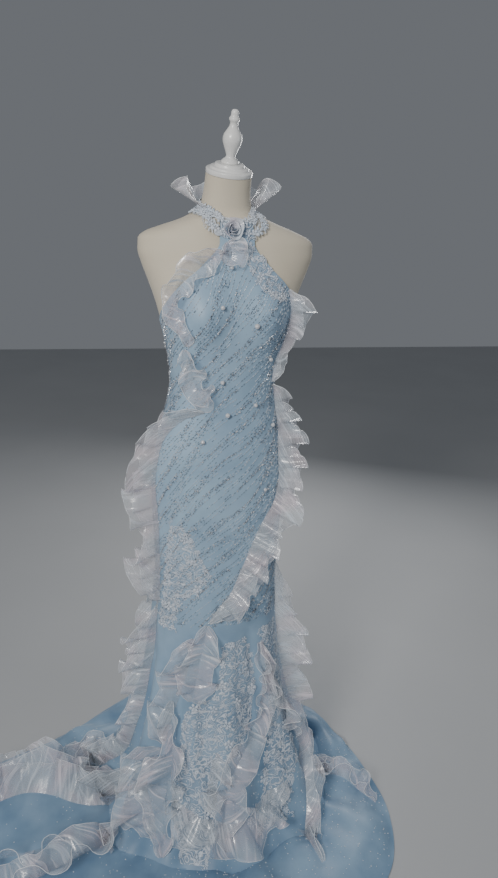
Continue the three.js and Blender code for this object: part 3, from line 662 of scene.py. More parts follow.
def makeNeckTop():
    top = (figure(0, formTop, False) + figure(180, formTop, False)) / 2
    lean = Matrix.Translation(Vector(top * mm)) @ Matrix.Rotation(math.radians(16), 4, "X")
    cap = [
        (0, 0.3), (44.1, 0.3), (45.1, 0.8), (45.5, 1.8), (45.5, 7.6), (45.1, 8.6), (44.2, 9.4),
        (42, 9.8), (38.6, 10.2), (38, 10.8), (37.6, 12.6), (36.6, 13.8), (34, 14.3), (29.8, 14.6),
        (29, 15.2), (28.7, 18.6), (27.8, 19.7), (26, 20.1), (0, 20.1),
    ]
    finialLift = 20.3
    finial = [
        (0, 0), (16.4, 0), (17.2, 1), (17.4, 2.6), (16.9, 4.2), (14.6, 6.4), (12, 8.6),
        (9.8, 10.2), (8.9, 11.8), (8.7, 13.4), (9.3, 15.6), (11.2, 20.6), (14, 27), (16.8, 34),
        (18.2, 39), (18.5, 42), (18.2, 46), (16.8, 51), (14, 55.6), (10.8, 60.4), (8.2, 65),
        (7.2, 69), (7.3, 71.6), (8.6, 73.4), (9.8, 75), (10.1, 77), (9.7, 79), (8.4, 80.8),
        (7.3, 82.2), (7.1, 85), (7.1, 88.6), (6.2, 91.4), (4.2, 93.2), (0, 94),
    ]
    for name, node, profile, lift, sides in (
        ("cap_turned", "neck_cap", cap, 0, 96),
        ("finial_turned", "finial", finial, finialLift, 48),
    ):
        points, faces = turnedParts(profile, sides)
        points = [lean @ (Vector((x, y, z + lift)) * mm) for x, y, z in points]
        settle(makeObject(name, points, faces, paint, sharp=55), "white_paint", node)


makeForm()
makeNeckTop()
refinish(paintFinish("white_coat"), "stand_base")
refinish(steel, "stand_pole")
print("form made")

# The satin panels.


def panelPiece(name, node, levels, edges, columns, dip=None):
    levels = np.asarray(levels, float)
    rows = []
    for level in levels:
        start, end = edges(level)
        radius = np.linalg.norm(figure((start + end) / 2, level)[:2])
        gap = math.degrees(clothFacts["seam"] / 2 / radius)
        rows.append(np.linspace(start + gap, end - gap, columns))
    a = np.array(rows)
    l = np.repeat(levels[:, None], columns, axis=1)
    if dip is not None:
        l = l - dip(a, l)
    clothPiece(name, outside(a, l), inside(a, l), satin, "satin", [node])


def halfSpread(level):
    return 90.0 if level < armhole else float(smoothRead(halterEdge["level"], halterEdge["spread"], level))


bodyEnd = tailSeam + 0.05
tailStart = tailSeam - 0.05
bodyLevels = np.concatenate([np.linspace(halterTop, armhole, 44), np.linspace(1223, bodyEnd, 106)])
panelPiece(
    "front_satin", "front_panel", bodyLevels, lambda l: (-halfSpread(l), halfSpread(l)), 90
)


def backDip(a, l):
    sideways = np.sin(np.radians(np.abs((a + 180) % 360 - 180) - 90))
    deepest, start = 45, 1010
    return deepest * sideways * np.clip((l - start) / (armhole - start), 0, 1) ** 2


for name, start, end in (("back_left", 90, 180), ("back_right", 180, 270)):
    levels = np.linspace(armhole, bodyEnd, 100)
    panelPiece(name + "_satin", name, levels, lambda l: (start, end), 40, backDip)

gores = dict(
    tail_front=(-35, 35), tail_left=(35, 110), tail_back_left=(110, 180),
    tail_back_right=(180, 250), train=(250, 325),
)
tailLevels = np.concatenate(
    [np.linspace(tailStart, 20, 70), np.linspace(15, 0, 6), np.linspace(-2, -100, 46)]
)
for name, (start, end) in gores.items():
    panelPiece(name + "_satin", name, tailLevels, lambda l: (start, end), 52)
print("panels made")

# Organza ruffles.


def routePoints(controls, t):
    controls = np.asarray(controls, float)
    last = len(controls) - 1
    t = np.clip(np.asarray(t, float), 0, 1) * last
    i = np.minimum(t.astype(int), last - 1)
    w = (t - i)[:, None]
    padded = np.vstack([2 * controls[0] - controls[1], controls, 2 * controls[-1] - controls[-2]])
    p0, p1, p2, p3 = (padded[i + k] for k in range(4))
    gap = lambda a, b: np.maximum(((a - b) ** 2).sum(axis=1, keepdims=True) ** 0.25, 1e-4)
    d0, d1, d2 = gap(p0, p1), gap(p1, p2), gap(p2, p3)
    m1 = ((p1 - p0) / d0 - (p2 - p0) / (d0 + d1) + (p2 - p1) / d1) * d1
    m2 = ((p2 - p1) / d1 - (p3 - p1) / (d1 + d2) + (p3 - p2) / d2) * d1
    return (
        p1
        + m1 * w
        + (-3 * p1 + 3 * p2 - 2 * m1 - m2) * w**2
        + (2 * p1 - 2 * p2 + m1 + m2) * w**3
    )


def unit(v):
    return v / (np.linalg.norm(v, axis=-1, keepdims=True) + 1e-12)


# The satin panels that a line of levels and angles passes over, from its start to its end.
def panelsUnder(path):
    found = []
    for angle, level in routePoints([(row[1], row[0]) for row in path], np.linspace(0, 1, 60)):
        turned = round(float(angle), 3) % 360
        if level > tailSeam:
            back = "back_left" if turned < 180 else "back_right"
            under = "front" if turned < 90 or turned > 270 else back
        else:
            under = next(
                name for name, (start, end) in gores.items() if (turned - start) % 360 < end - start
            )
        if under + "_satin" not in found:
            found.append(under + "_satin")
    return found


ruffles = dict(
    ruffle_halter_right=dict(
        waves=4, side=-1, turn=0.6,
        path=[
            (1365, -8, 20, 50), (1340, -19, 34, 50), (1316, -32, 38, 45), (1288, -45, 36, 45),
            (1245, -50, 26, 50), (1212, -43, 22, 55), (1184, -46, 16, 55),
        ],
    ),
    ruffle_waist_right=dict(
        waves=3, side=1, turn=1,
        path=[
            (1176, -51, 20, 50), (1150, -46, 36, 55), (1112, -41, 44, 55), (1078, -33, 38, 55),
            (1050, -19, 18, 55),
        ],
    ),
    ruffle_halter_left=dict(
        waves=4, side=1, turn=0.4,
        path=[
            (1296, 40, 14, 40), (1276, 46, 34, 30), (1248, 54, 50, 22), (1222, 59, 46, 20),
            (1195, 60, 34, 25), (1172, 55, 18, 40), (1150, 50, 28, 35), (1128, 50, 26, 35),
            (1105, 50, 14, 40),
        ],
    ),
    ruffle_hip_left=dict(
        waves=12, side=1, turn=1,
        path=[
            (1096, 56, 14, 30), (1078, 60, 44, 30), (1050, 61, 46, 35), (1005, 58, 60, 40),
            (948, 52, 62, 40), (880, 49, 62, 40), (830, 44, 66, 45), (792, 31, 66, 50),
            (732, 20, 66, 50), (676, 11, 62, 50), (616, 2, 58, 50), (576, -8, 44, 50),
            (552, -13, 24, 50),
        ],
    ),
    ruffle_hip_right=dict(
        waves=6, side=-1, turn=2,
        path=[
            (1044, -26, 26, 55), (1028, -46, 40, 50), (985, -68, 52, 40), (940, -76, 54, 20),
            (880, -77, 76, 10), (800, -74, 72, 8), (750, -73, 50, 8), (690, -73, 76, 8),
            (640, -72, 78, 8), (585, -71, 58, 10),
        ],
    ),
    ruffle_tail_right=dict(
        waves=8, side=-1, turn=0.5,
        path=[
            (560, -74, 30, 10), (508, -78, 66, 10), (440, -82, 84, 8), (380, -86, 82, 8),
            (310, -87, 60, 12), (240, -88, 46, 20), (160, -90, 50, 30), (90, -94, 64, 30),
            (30, -100, 80, 20), (-20, -106, 86, 12), (-42, -108, 60, 10),
        ],
    ),
    ruffle_tail_left=dict(
        waves=8, side=1, turn=0,
        path=[
            (660, 62, 24, 20), (600, 66, 34, 20), (545, 67, 44, 20), (500, 68, 72, 18),
            (430, 69, 86, 16), (370, 70, 80, 16), (310, 70, 76, 18), (240, 70, 58, 20),
            (160, 67, 52, 25), (104, 52, 46, 32), (46, 39, 44, 32), (4, 32, 44, 24),
            (-40, 28, 42, 14),
        ],
    ),
    ruffle_front_upper=dict(
        waves=3, side=1, turn=0,
        path=[
            (546, -14, 18, 55), (500, -17, 42, 58), (440, -22, 54, 58), (390, -25, 50, 55),
            (358, -27, 34, 50),
        ],
    ),
    ruffle_front_right=dict(
        waves=5, side=-1, turn=1.5,
        path=[
            (352, -46, 26, 45), (300, -45, 36, 40), (245, -42, 44, 34), (205, -41, 80, 32),
            (165, -42, 100, 34), (125, -43, 84, 38), (85, -42, 50, 40), (40, -37, 48, 36),
            (12, -35, 38, 30),
        ],
    ),
    ruffle_front_left=dict(
        waves=6, side=1, turn=2.4,
        path=[
            (480, 29, 26, 45), (420, 31, 40, 38), (360, 30, 42, 32), (310, 26, 40, 32),
            (265, 16, 42, 42), (225, 4, 48, 50), (185, -2, 60, 50), (150, -4, 68, 48),
            (110, -5, 50, 46), (70, -6, 38, 42), (36, -5, 36, 35),
        ],
    ),
    ruffle_train_upper=dict(
        waves=5, side=-1, turn=0.8,
        path=[
            (104, -80, 56, 28), (50, -80, 86, 26), (0, -83, 104, 24), (-22, -91, 112, 26),
            (-36, -93, 106, 26), (-52, -91, 92, 22), (-70, -88, 66, 16),
        ],
    ),
    ruffle_train_lower=dict(
        waves=6, side=1, turn=2,
        path=[
            (30, -62, 60, 30), (-22, -64, 66, 30), (-48, -68, 66, 25), (-72, -66, 60, 25),
            (-88, -60, 52, 25),
        ],
    ),
    ruffle_train_left=dict(
        waves=4, side=1, turn=1,
        path=[
            (40, 74, 30, 20), (4, 76, 50, 12), (-30, 71, 56, 8), (-55, 66, 50, 8), (-80, 62, 44, 8),
        ],
    ),
    ruffle_back_left=dict(
        waves=7, side=1, turn=1,
        path=[
            (560, 128, 50, 20), (440, 132, 64, 20), (320, 136, 60, 25), (200, 138, 60, 30),
            (90, 140, 60, 30), (15, 140, 50, 25),
        ],
    ),
    ruffle_back_right=dict(
        waves=7, side=-1, turn=2,
        path=[
            (560, -128, 50, 20), (440, -132, 64, 20), (320, -136, 60, 25), (200, -138, 60, 30),
            (90, -140, 60, 30), (15, -140, 50, 25),
        ],
    ),
    collar_jabot=dict(
        waves=2, side=1, turn=0.5,
        path=[
            (1384, -5, 18, 55), (1370, -3, 34, 58), (1356, -3, 34, 55), (1342, -6, 18, 50),
        ],
    ),
)


# A wave with pointed ridges, as crisp cloth folds.
def crisp(phase):
    return np.arcsin(0.94 * np.sin(phase)) / math.asin(0.94)


def ruffleGrid(path, waves, side, turn, depth=0.29, lift=0.9, perWave=30, rows=11):
    controls = [(angle, level) for level, angle, _, _ in path]
    fine = np.linspace(0, 1, 400)
    route = routePoints(controls, fine)
    line = outside(route[:, 0], route[:, 1], lift)
    lengths = np.concatenate([[0], np.cumsum(np.linalg.norm(np.diff(line, axis=0), axis=1))])
    share = np.linspace(0, 1, int(waves * perWave) + 1)
    t = np.interp(share * lengths[-1], lengths, fine)
    at = lambda t: outside(*routePoints(controls, t).T, lift)
    start = at(t)
    ahead = unit(at(np.clip(t + 0.004, 0, 1)) - at(np.clip(t - 0.004, 0, 1)))
    angle, level = routePoints(controls, t).T
    up = figureNormal(angle, level, False)
    away = unit(np.cross(up, ahead)) * side
    up = unit(np.cross(ahead, away) * side)
    knots = np.linspace(0, 1, len(path))
    lay = np.radians(smoothRead(knots, [row[3] for row in path], t))[:, None]
    phase = 2 * math.pi * waves * share + turn
    width = smoothRead(knots, [row[2] for row in path], t)
    lobes = max(2, round(waves * ruffleFacts["lobes"]))
    scallop = ruffleFacts["scallop"] * np.abs(np.sin(math.pi * lobes * share + 0.4 * turn)) ** 0.65
    width = width * (ruffleFacts["least"] + scallop + 0.07 * np.sin(2.3 * waves * share + turn))
    width *= np.sqrt(np.clip(np.minimum(share, 1 - share) * ruffleFacts["taper"] + 0.06, 0, 1))
    out = up * np.cos(lay) + away * np.sin(lay)
    across = away * np.cos(lay) - up * np.sin(lay)
    wander = phase + 0.45 * np.sin(0.41 * phase + turn) + 0.3 * np.sin(phase)
    calm = 1 + 0.25 * np.sin(0.53 * phase + 2 * turn)
    swing = np.minimum(width, ruffleFacts["widest"]) * depth * calm
    grid = []
    for h in np.linspace(0, 1, rows):
        main = (0.85 * np.sin(wander) + 0.15 * crisp(wander)) * h
        second = 0.2 * np.sin(2.7 * phase + 1.7 * turn + 1.2) * h**0.9 * (1.3 - 0.8 * h)
        third = 0.07 * crisp(6.1 * phase + 2) * h**0.6 * (1.1 - h)
        gather = 0.8 * np.sin(9 * phase) * (1 - h) ** 2 * min(1, 8 * h)
        roll = width * 0.1 * h**4 * (1 - np.cos(wander + 0.6))
        grid.append(
            start
            + out * (width * h - roll + 0.3)[:, None]
            + across * (swing * (main + second + third) + gather + 0.6 * roll)[:, None]
            + ahead * (-0.34 * swing * h * np.sin(2 * wander))[:, None]
        )
    return np.array(grid)


# Splits the middle of a thin cloth into its two faces.
def twoFaces(grid, thick):
    along = np.gradient(grid, axis=1)
    down = np.gradient(grid, axis=0)
    normal = unit(np.cross(along, down))
    return grid - normal * thick / 2, grid + normal * thick / 2


hems = []


# Makes a ruffle or a flounce from the middle of its cloth, clear of the floor, and keeps its free edge.
def makeRuffle(name, grid, nodes, restsOn, clear=0.8):
    grid[..., 2] = np.maximum(grid[..., 2], clear)
    near, far = twoFaces(grid, clothFacts["skin"])
    clothPiece(name, near, far, organza, "organza", nodes)
    hems.append(grid[-1])


# The inner layer of each ruffle, as a share of its width and a side: -1 spreads the other way.
innerLayers = dict(
    ruffle_halter_right=(0.8, -1), ruffle_waist_right=(0.7, -1), ruffle_halter_left=(0.75, 1),
    ruffle_hip_left=(0.8, 1), ruffle_hip_right=(0.75, 1), ruffle_tail_right=(0.8, 1),
    ruffle_tail_left=(0.8, 1), ruffle_front_upper=(1.0, -1), ruffle_front_right=(0.7, -1),
    ruffle_front_left=(0.9, -1), ruffle_train_upper=(0.8, 1), ruffle_train_lower=(0.9, -1),
    ruffle_train_left=(0.9, -1), ruffle_back_left=(0.9, -1), ruffle_back_right=(0.9, -1),
    collar_jabot=(0.9, -1),
)

# Loose flounces between the ruffles of the tail and the train. They stand for no node.
flounces = dict(
    flounce_mid=dict(
        waves=3, side=-1, turn=0.3,
        path=[
            (512, -25, 34, 55), (444, -30, 70, 55), (372, -38, 76, 55), (300, -46, 64, 52),
            (240, -49, 36, 50),
        ],
    ),
    flounce_fan=dict(
        waves=4, side=-1, turn=1.2,
        path=[
            (232, -50, 44, 45), (180, -55, 84, 42), (130, -54, 96, 44), (80, -48, 84, 46),
            (36, -42, 50, 46),
        ],
    ),
    flounce_bow=dict(
        waves=2, side=1, turn=0.9,
        path=[(246, -8, 34, 50), (206, -12, 64, 52), (160, -14, 66, 54), (112, -14, 40, 54)],
    ),
    flounce_right=dict(
        waves=4, side=-1, turn=2.0,
        path=[
            (486, 34, 30, 55), (408, 41, 58, 55), (330, 50, 66, 55), (250, 56, 58, 50),
            (180, 58, 36, 45),
        ],
    ),
    flounce_hem=dict(
        waves=5, side=-1, turn=0.5,
        path=[
            (128, -34, 50, 58), (98, -18, 76, 60), (92, 0, 80, 60), (104, 18, 74, 58),
            (126, 34, 44, 55),
        ],
    ),
    flounce_train=dict(
        waves=4, side=1, turn=1.6,
        path=[(-14, -72, 50, 35), (-34, -75, 66, 38), (-54, -79, 64, 38), (-72, -83, 46, 35)],
    ),
    flounce_far=dict(
        waves=4, side=-1, turn=0.2,
        path=[(-22, -100, 46, 30), (-38, -102, 66, 32), (-54, -100, 64, 32), (-68, -95, 44, 30)],
    ),
)


# A flounce is one layer of organza, and a ruffle is two, gathered together at the root.
def makeRuffles():
    for name, facts in flounces.items():
        makeRuffle(name + "_organza", ruffleGrid(**facts), [], panelsUnder(facts["path"]))
    for name, facts in ruffles.items():
        lift = 1.6 if name == "ruffle_halter_left" else 0.9
        under = panelsUnder(facts["path"])
        makeRuffle(name + "_organza", ruffleGrid(**facts, lift=lift), [name], under)
        share, side = innerLayers[name]
        inner = dict(facts, turn=facts["turn"] + innerFacts["turn"], side=facts["side"] * side)
        inner["path"] = [
            (level, angle, width * share, min(lay + innerFacts["lean"], innerFacts["mostLean"]))
            for level, angle, width, lay in facts["path"]
        ]
        inner.update(lift=lift, perWave=innerFacts["perWave"], rows=innerFacts["rows"])
        makeRuffle(name + "_inner", ruffleGrid(**inner), [], under)


makeRuffles()
collarPath = [
    (1447, 52, 16, 25), (1447, 72, 46, 20), (1447, 100, 62, 12), (1447, 140, 60, 10),
    (1447, 180, 56, 10), (1447, 220, 60, 10), (1447, 262, 64, 14), (1447, 290, 46, 20),
    (1447, 306, 16, 25),
]
collarGrid = ruffleGrid(collarPath, 6, 1, 0, depth=0.26, lift=2.0)
makeRuffle("collar_organza", collarGrid, ["collar_ruffle"], ["collar_lace"])


# The stiff rolled hem along the free edge of each ruffle and flounce.
def makeHems():
    points, faces = joined([tubeParts(line[::2] * mm, organzaFacts["hem"], 4) for line in hems])
    settle(makeObject("ruffle_hems", points, faces, hem, sharp=180), "organza")


makeHems()
print("ruffles made")

# Lace: a net ground with corded flowers on it.
laces = dict(
    lace_hip_right=[
        (790, -50, -44), (755, -56, -30), (710, -58, -22), (665, -60, -12), (640, -62, -22),
        (590, -64, -44), (530, -66, -50),
    ],
    lace_bodice_left=[(1375, 3, 7), (1345, 6, 15), (1318, 10, 24), (1297, 19, 32), (1278, 26, 38)],
    lace_tail_front=[
        (500, 2, 14), (470, -2, 20), (420, -4, 23), (370, -8, 24), (335, -30, 19), (290, -34, 13),
        (250, -34, 5), (215, -33, -6), (160, -36, -9), (110, -36, -10), (60, -30, -12), (10, -26, -14),
    ],
    lace_tail_left=[
        (516, 36, 56), (430, 36, 60), (350, 35, 60), (270, 32, 56), (190, 26, 48), (120, 19, 38),
        (40, 8, 26),
    ],
    lace_train=[
        (-30, -52, -44), (-44, -56, -40), (-58, -57, -38), (-72, -55, -40), (-84, -50, -43),
    ],
)


# An edge of the lace, scalloped by a few millimetres.
def scalloped(angle, level, outward):
    line = figure(angle, level)
    lengths = np.concatenate([[0], np.cumsum(np.linalg.norm(np.diff(line, axis=0), axis=1))])
    side = np.linalg.norm(figure(angle + 1, level) - line, axis=-1)
    return angle + outward * 5 * np.abs(np.sin(math.pi * lengths / 21)) / side


def laceEdges(rows, steps):
    keys = [row[0] for row in rows]
    levels = np.linspace(keys[0], keys[-1], steps)
    start = np.interp(-levels, [-key for key in keys], [row[1] for row in rows])
    end = np.interp(-levels, [-key for key in keys], [row[2] for row in rows])
    return levels, scalloped(start, levels, -1), scalloped(end, levels, 1)


def makeLace(name, rows):
    levels, start, end = laceEdges(rows, 60)
    across = np.linspace(0, 1, 16)
    a = start[:, None] + (end - start)[:, None] * across
    l = np.repeat(levels[:, None], len(across), axis=1)
    near, far = outside(a, l, 0.5), outside(a, l, 0.95)
    clothPiece(name + "_net", near, far, net, "lace", [name])


for name, rows in laces.items():
    makeLace(name, rows)


def eulerOf(side, ahead, up):
    return np.stack(
        [
            np.arctan2(ahead[:, 2], up[:, 2]),
            -np.arcsin(np.clip(side[:, 2], -1, 1)),
            np.arctan2(side[:, 1], side[:, 0]),
        ],
        axis=-1,
    )


# Frames of points on the gown: each has its place, its turn and its size.
def framesOn(angle, level, lift, spin, size):
    angle, level, lift, spin, size = (
        np.asarray(v, float) for v in np.broadcast_arrays(angle, level, lift, spin, size)
    )
    up = figureNormal(angle, level)
    place = outside(angle, level, lift)
    guide = np.zeros_like(up)
    guide[:, 2] = 1
    guide[level < 0] = (0, 1, 0)
    side = unit(np.cross(guide, up))
    ahead = np.cross(up, side)
    c, s = np.cos(spin)[:, None], np.sin(spin)[:, None]
    return place * mm, eulerOf(side * c + ahead * s, ahead * c - side * s, up), size


# A node tree that sets a motif, turned and sized, on each point of a mesh.
def settingTree():
    tree = bpy.data.node_groups.new("set motifs", "GeometryNodeTree")
    for kind, name in (
        ("NodeSocketGeometry", "Points"), ("NodeSocketObject", "Motif"),
        ("NodeSocketFloat", "Size"), ("NodeSocketMaterial", "Material"),
    ):
        tree.interface.new_socket(name, in_out="INPUT", socket_type=kind)
    tree.interface.new_socket("Geometry", in_out="OUTPUT", socket_type="NodeSocketGeometry")
    new, link = tree.nodes.new, tree.links.new
    start, end = new("NodeGroupInput"), new("NodeGroupOutput")
    points, setOn = new("GeometryNodeMeshToPoints"), new("GeometryNodeInstanceOnPoints")
    motif, real, paintOn = (
        new("GeometryNodeObjectInfo"), new("GeometryNodeRealizeInstances"), new("GeometryNodeSetMaterial")
    )
    turn, grow = new("GeometryNodeInputNamedAttribute"), new("GeometryNodeInputNamedAttribute")
    turn.data_type, grow.data_type = "FLOAT_VECTOR", "FLOAT"
    turn.inputs["Name"].default_value, grow.inputs["Name"].default_value = "turn", "grow"
    toTurn, scale = new("FunctionNodeEulerToRotation"), new("ShaderNodeMath")
    scale.operation = "MULTIPLY"
    link(start.outputs["Points"], points.inputs["Mesh"])
    link(points.outputs["Points"], setOn.inputs["Points"])
    link(start.outputs["Motif"], motif.inputs["Object"])
    link(motif.outputs["Geometry"], setOn.inputs["Instance"])
    link(turn.outputs["Attribute"], toTurn.inputs["Euler"])
    link(toTurn.outputs["Rotation"], setOn.inputs["Rotation"])
    link(grow.outputs["Attribute"], scale.inputs[0])
    link(start.outputs["Size"], scale.inputs[1])
    link(scale.outputs[0], setOn.inputs["Scale"])
    link(setOn.outputs["Instances"], real.inputs["Geometry"])
    link(real.outputs["Geometry"], paintOn.inputs["Geometry"])
    link(start.outputs["Material"], paintOn.inputs["Material"])
    link(paintOn.outputs["Geometry"], end.inputs["Geometry"])
    return tree


setting = settingTree()


def setMotifs(name, frames, motif, size, material, slotName):
    places, turns, sizes = (np.concatenate(part) for part in zip(*frames))
    mesh = bpy.data.meshes.new(name)
    mesh.from_pydata(places.tolist(), [], [])
    mesh.attributes.new("turn", "FLOAT_VECTOR", "POINT").data.foreach_set("vector", turns.ravel())
    mesh.attributes.new("grow", "FLOAT", "POINT").data.foreach_set("value", sizes)
    holder = bpy.data.objects.new(name, mesh)
    scene.collection.objects.link(holder)
    modifier = holder.modifiers.new("set", "NODES")
    modifier.node_group = setting
    keys = {item.name: item.identifier for item in setting.interface.items_tree}
    modifier[keys["Motif"]] = motif
    modifier[keys["Size"]] = size
    modifier[keys["Material"]] = material
    holder.data.update()
    graph = bpy.context.evaluated_depsgraph_get()
    result = bpy.data.meshes.new_from_object(holder.evaluated_get(graph), depsgraph=graph)
    holder.modifiers.clear()
    holder.data = result
    for attribute in ("turn", "grow"):
        if attribute in result.attributes:
            result.attributes.remove(result.attributes[attribute])
    settle(holder, slotName)


def motifObject(name, parts, smooth=True):
    points, faces = joined(parts)
    mesh = bpy.data.meshes.new(name)
    mesh.from_pydata(points.tolist(), [], faces)
    mesh.polygons.foreach_set("use_smooth", [smooth] * len(mesh.polygons))
    mesh.update()
    return bpy.data.objects.new(name, mesh)


# Motifs are drawn one unit across and sized where they are set.
def petalParts(turn, near, far, wide, cordRadius):
    t = np.linspace(0, 2 * math.pi, 7)[:-1]
    reach = (near + far) / 2 + (far - near) / 2 * np.cos(t)
    side = wide * np.sin(t) * (0.75 + 0.25 * np.cos(t))
    c, s = math.cos(turn), math.sin(turn)
    rim = np.stack([reach * c - side * s, reach * s + side * c, 0 * t], -1)
    middle = rim.mean(axis=0)
    points = np.vstack([rim, middle + (0, 0, cordRadius * 0.6), middle - (0, 0, cordRadius)])
    faces = [(i, (i + 1) % 6, 6) for i in range(6)] + [((i + 1) % 6, i, 7) for i in range(6)]
    return [(points, faces), tubeParts(rim, cordRadius, 3, True)]


def flowerMotif(petals=5):
    parts = []
    for i in range(petals):
        parts += petalParts(2 * math.pi * i / petals, 0.1, 0.5, 0.17, 0.026)
    parts.append(turnedParts([(0, -0.02), (0.09, 0), (0.07, 0.06), (0, 0.09)], 6))
    return motifObject("flower", parts)


# A curling stem with a few leaves, all in fine cord.
def sprigMotif():
    t = np.linspace(0, 1, 15)
    bend = 4.6 * t**1.5
    reach = 0.5 - 0.42 * t
    scroll = np.stack([reach * np.cos(bend) - 0.1, reach * np.sin(bend) - 0.1, 0 * t], -1)
    parts = [tubeParts(scroll, 0.024, 3)]
    t = np.linspace(0, 1, 9)
    stem = np.stack([0.4 - 0.9 * t, 0.16 * np.sin(5 * t) - 0.1, 0 * t], -1)
    parts.append(tubeParts(stem, 0.022, 3))
    for i, lean, far in ((1, -1.3, 0.24), (4, 2.0, 0.28), (6, -2.2, 0.24), (8, 2.7, 0.2)):
        loop = petalParts(lean, 0.02, far, 0.075, 0.02)[1]
        parts.append((loop[0] + stem[i], loop[1]))
    return motifObject("sprig", parts)


def gemMotif(name, sides, low=0.4):
    return motifObject(name, [turnedParts([(0, -low), (0.5, 0), (0, 0.5)], sides)], False)


def ballParts(radius, rings, sides):
    profile = [
        (radius * math.cos(t) if 0 < k < rings - 1 else 0, radius * math.sin(t))
        for k, t in enumerate(np.linspace(-math.pi / 2, math.pi / 2, rings))
    ]
    return turnedParts(profile, sides)


def bugleMotif():
    r = beadFacts["radius"] / beadFacts["length"]
    tube = turnedParts([(0, -0.5), (r, -0.5), (r, 0.5), (0, 0.5)], 3)
    points = np.asarray(tube[0])[:, [2, 0, 1]]
    return motifObject("bugle", [(points, tube[1])], False)


random = np.random.default_rng(11)


# Places inside the outline of a piece of lace, no closer than a spacing.
def placesOnLace(rows, spacing, edgeOnly=False):
    levels, start, end = laceEdges(rows, 400)
    found, kept = [], np.zeros((0, 3))
    for i in random.integers(0, len(levels), 5000):
        share = random.random() if not edgeOnly else random.choice([0.04, 0.96])
        angle = start[i] + (end[i] - start[i]) * share
        place = figure(angle, levels[i])
        if len(kept) and np.linalg.norm(kept - place, axis=1).min() < spacing:
            continue
        kept = np.vstack([kept, place])
        found.append((angle, levels[i]))
    return np.array(found).T


# Frames with a free turn each and a size between two.
def freeFrames(places, lift, low, high):
    angle, level = places
    spin = random.uniform(0, 6.28, len(angle))
    return framesOn(angle, level, lift, spin, random.uniform(low, high, len(angle)))


def makeLaceMotifs():
    flower, sprig = flowerMotif(), sprigMotif()
    flowers, sprigs = [], []
    for rows in laces.values():
        flowers.append(freeFrames(placesOnLace(rows, laceFacts["flowerSpacing"]), 1.0, 0.75, 1.15))
        sprigs.append(freeFrames(placesOnLace(rows, laceFacts["sprigSpacing"]), 1.0, 0.8, 1.3))
        flowers.append(freeFrames(placesOnLace(rows, laceFacts["edgeSpacing"], True), 1.0, 0.5, 0.7))
    setMotifs("lace_flowers", flowers, flower, laceFacts["flower"], cord, "lace")
    setMotifs("lace_sprigs", sprigs, sprig, laceFacts["sprig"], cord, "lace")
    return flower


flower = makeLaceMotifs()
print("lace made")


# The collar: a dipping band of net with florets, and a rose of curled organza at its front.
def collarLevel(angle, share):
    dip = np.exp(-((angle / 32) ** 2))
    top, bottom = 1454 - 28 * dip, 1432 - 42 * dip
    return top + (bottom - top) * share


def collarLift(angle):
    return smoothStep(-np.abs(angle), -44, -22) * 2.5


def makeCollar():
    a = np.linspace(-179.6, 179.6, 181)[None, :] + 0 * np.linspace(0, 1, 12)[:, None]
    share = np.linspace(0, 1, 12)[:, None] + 0 * a
    share = share + (share - 0.5) * 0.1 * np.abs(np.sin(np.radians(a) * 12))
    l = collarLevel(a, share)
    lift = collarLift(a)
    near, far = outside(a, l, lift + 0.6), outside(a, l, lift)
    clothPiece("collar_lace", far, near, net, "lace", ["collar_band"])
    count = 90
    angle = np.repeat(np.arange(-176, 180, 8.0), 2) + random.uniform(-2, 2, count)
    share = np.tile([0.22, 0.78], count // 2) + random.uniform(-0.08, 0.08, count)
    frames = freeFrames((angle, collarLevel(angle, share)), collarLift(angle) + 1.0, 0.8, 1.15)
    setMotifs("collar_florets", [frames], flower, 0.017, cord, "lace")


makeCollar()


def spiralStrip(centre, facing, turns, radius, tall, steps=120, rows=7):
    t = np.linspace(0, 1, steps)
    bend = t * turns * 2 * math.pi
    reach = radius * (0.16 + 0.84 * t) * (1 + 0.1 * np.sin(3.3 * bend))
    upright = tall * (1.1 - 0.45 * t) * (1 + 0.12 * np.sin(4.1 * bend))
    up = unit(np.asarray(facing, float))
    side = unit(np.cross((0, 0, 1.0), up))
    ahead = np.cross(up, side)
    grid = []
    for h in np.linspace(0, 1, rows):
        lean = reach * (1 + 0.55 * h**2 * t)
        grid.append(
            centre
            + side * (lean * np.cos(bend))[:, None]
            + ahead * (lean * np.sin(bend))[:, None]
            + up * (upright * h)[:, None]
        )
    return np.array(grid)


def makeRose():
    centre = outside(-3, 1405, 3.6)
    facing = figureNormal(np.array(-3.0), np.array(1405.0), False)
    grid = spiralStrip(centre, facing, 3.3, 15.5, 13)
    near, far = twoFaces(grid, 0.5)
    clothPiece(
        "rose_organza", near, far, rosette, "organza",
        ["rose_petal_1", "rose_petal_2", "rose_petal_3"],
    )


makeRose()
print("collar made")


# Bead lines: they flow from high on the left side down to the right hip, at a slope for each level.
flowLevels = [500, 700, 850, 1000, 1200, 1300, 1390]
flowSlopes = [1.1, 1.0, 0.85, 1, 0.85, 0.5, 0.2]
beadsEnd, beadsTop = 540, 1400


def flowLine(offset, levels):
    slope = np.interp(levels, flowLevels, flowSlopes)
    steps = np.concatenate([[0], np.cumsum(0.5 * (slope[1:] + slope[:-1]) * np.abs(np.diff(levels)))])
    sway = 7 * np.sin(levels / 47 + offset / 31) + 3 * np.sin(levels / 19 + offset / 9)
    across = offset - steps + sway
    wide = smoothRead(sections["level"], sections["halfWidth"], levels)
    return np.degrees(across / (wide * 1.02))


def onGown(angle, level):
    turned = (angle + 180) % 360 - 180
    halter = smoothRead(halterEdge["level"], halterEdge["spread"], level) - 2.5
    most = np.where(level > armhole, halter, 178)
    most = np.where((level > 1180) & (level <= armhole), 86, most)
    return (np.abs(turned) < most) & (np.abs(angle) < 182)


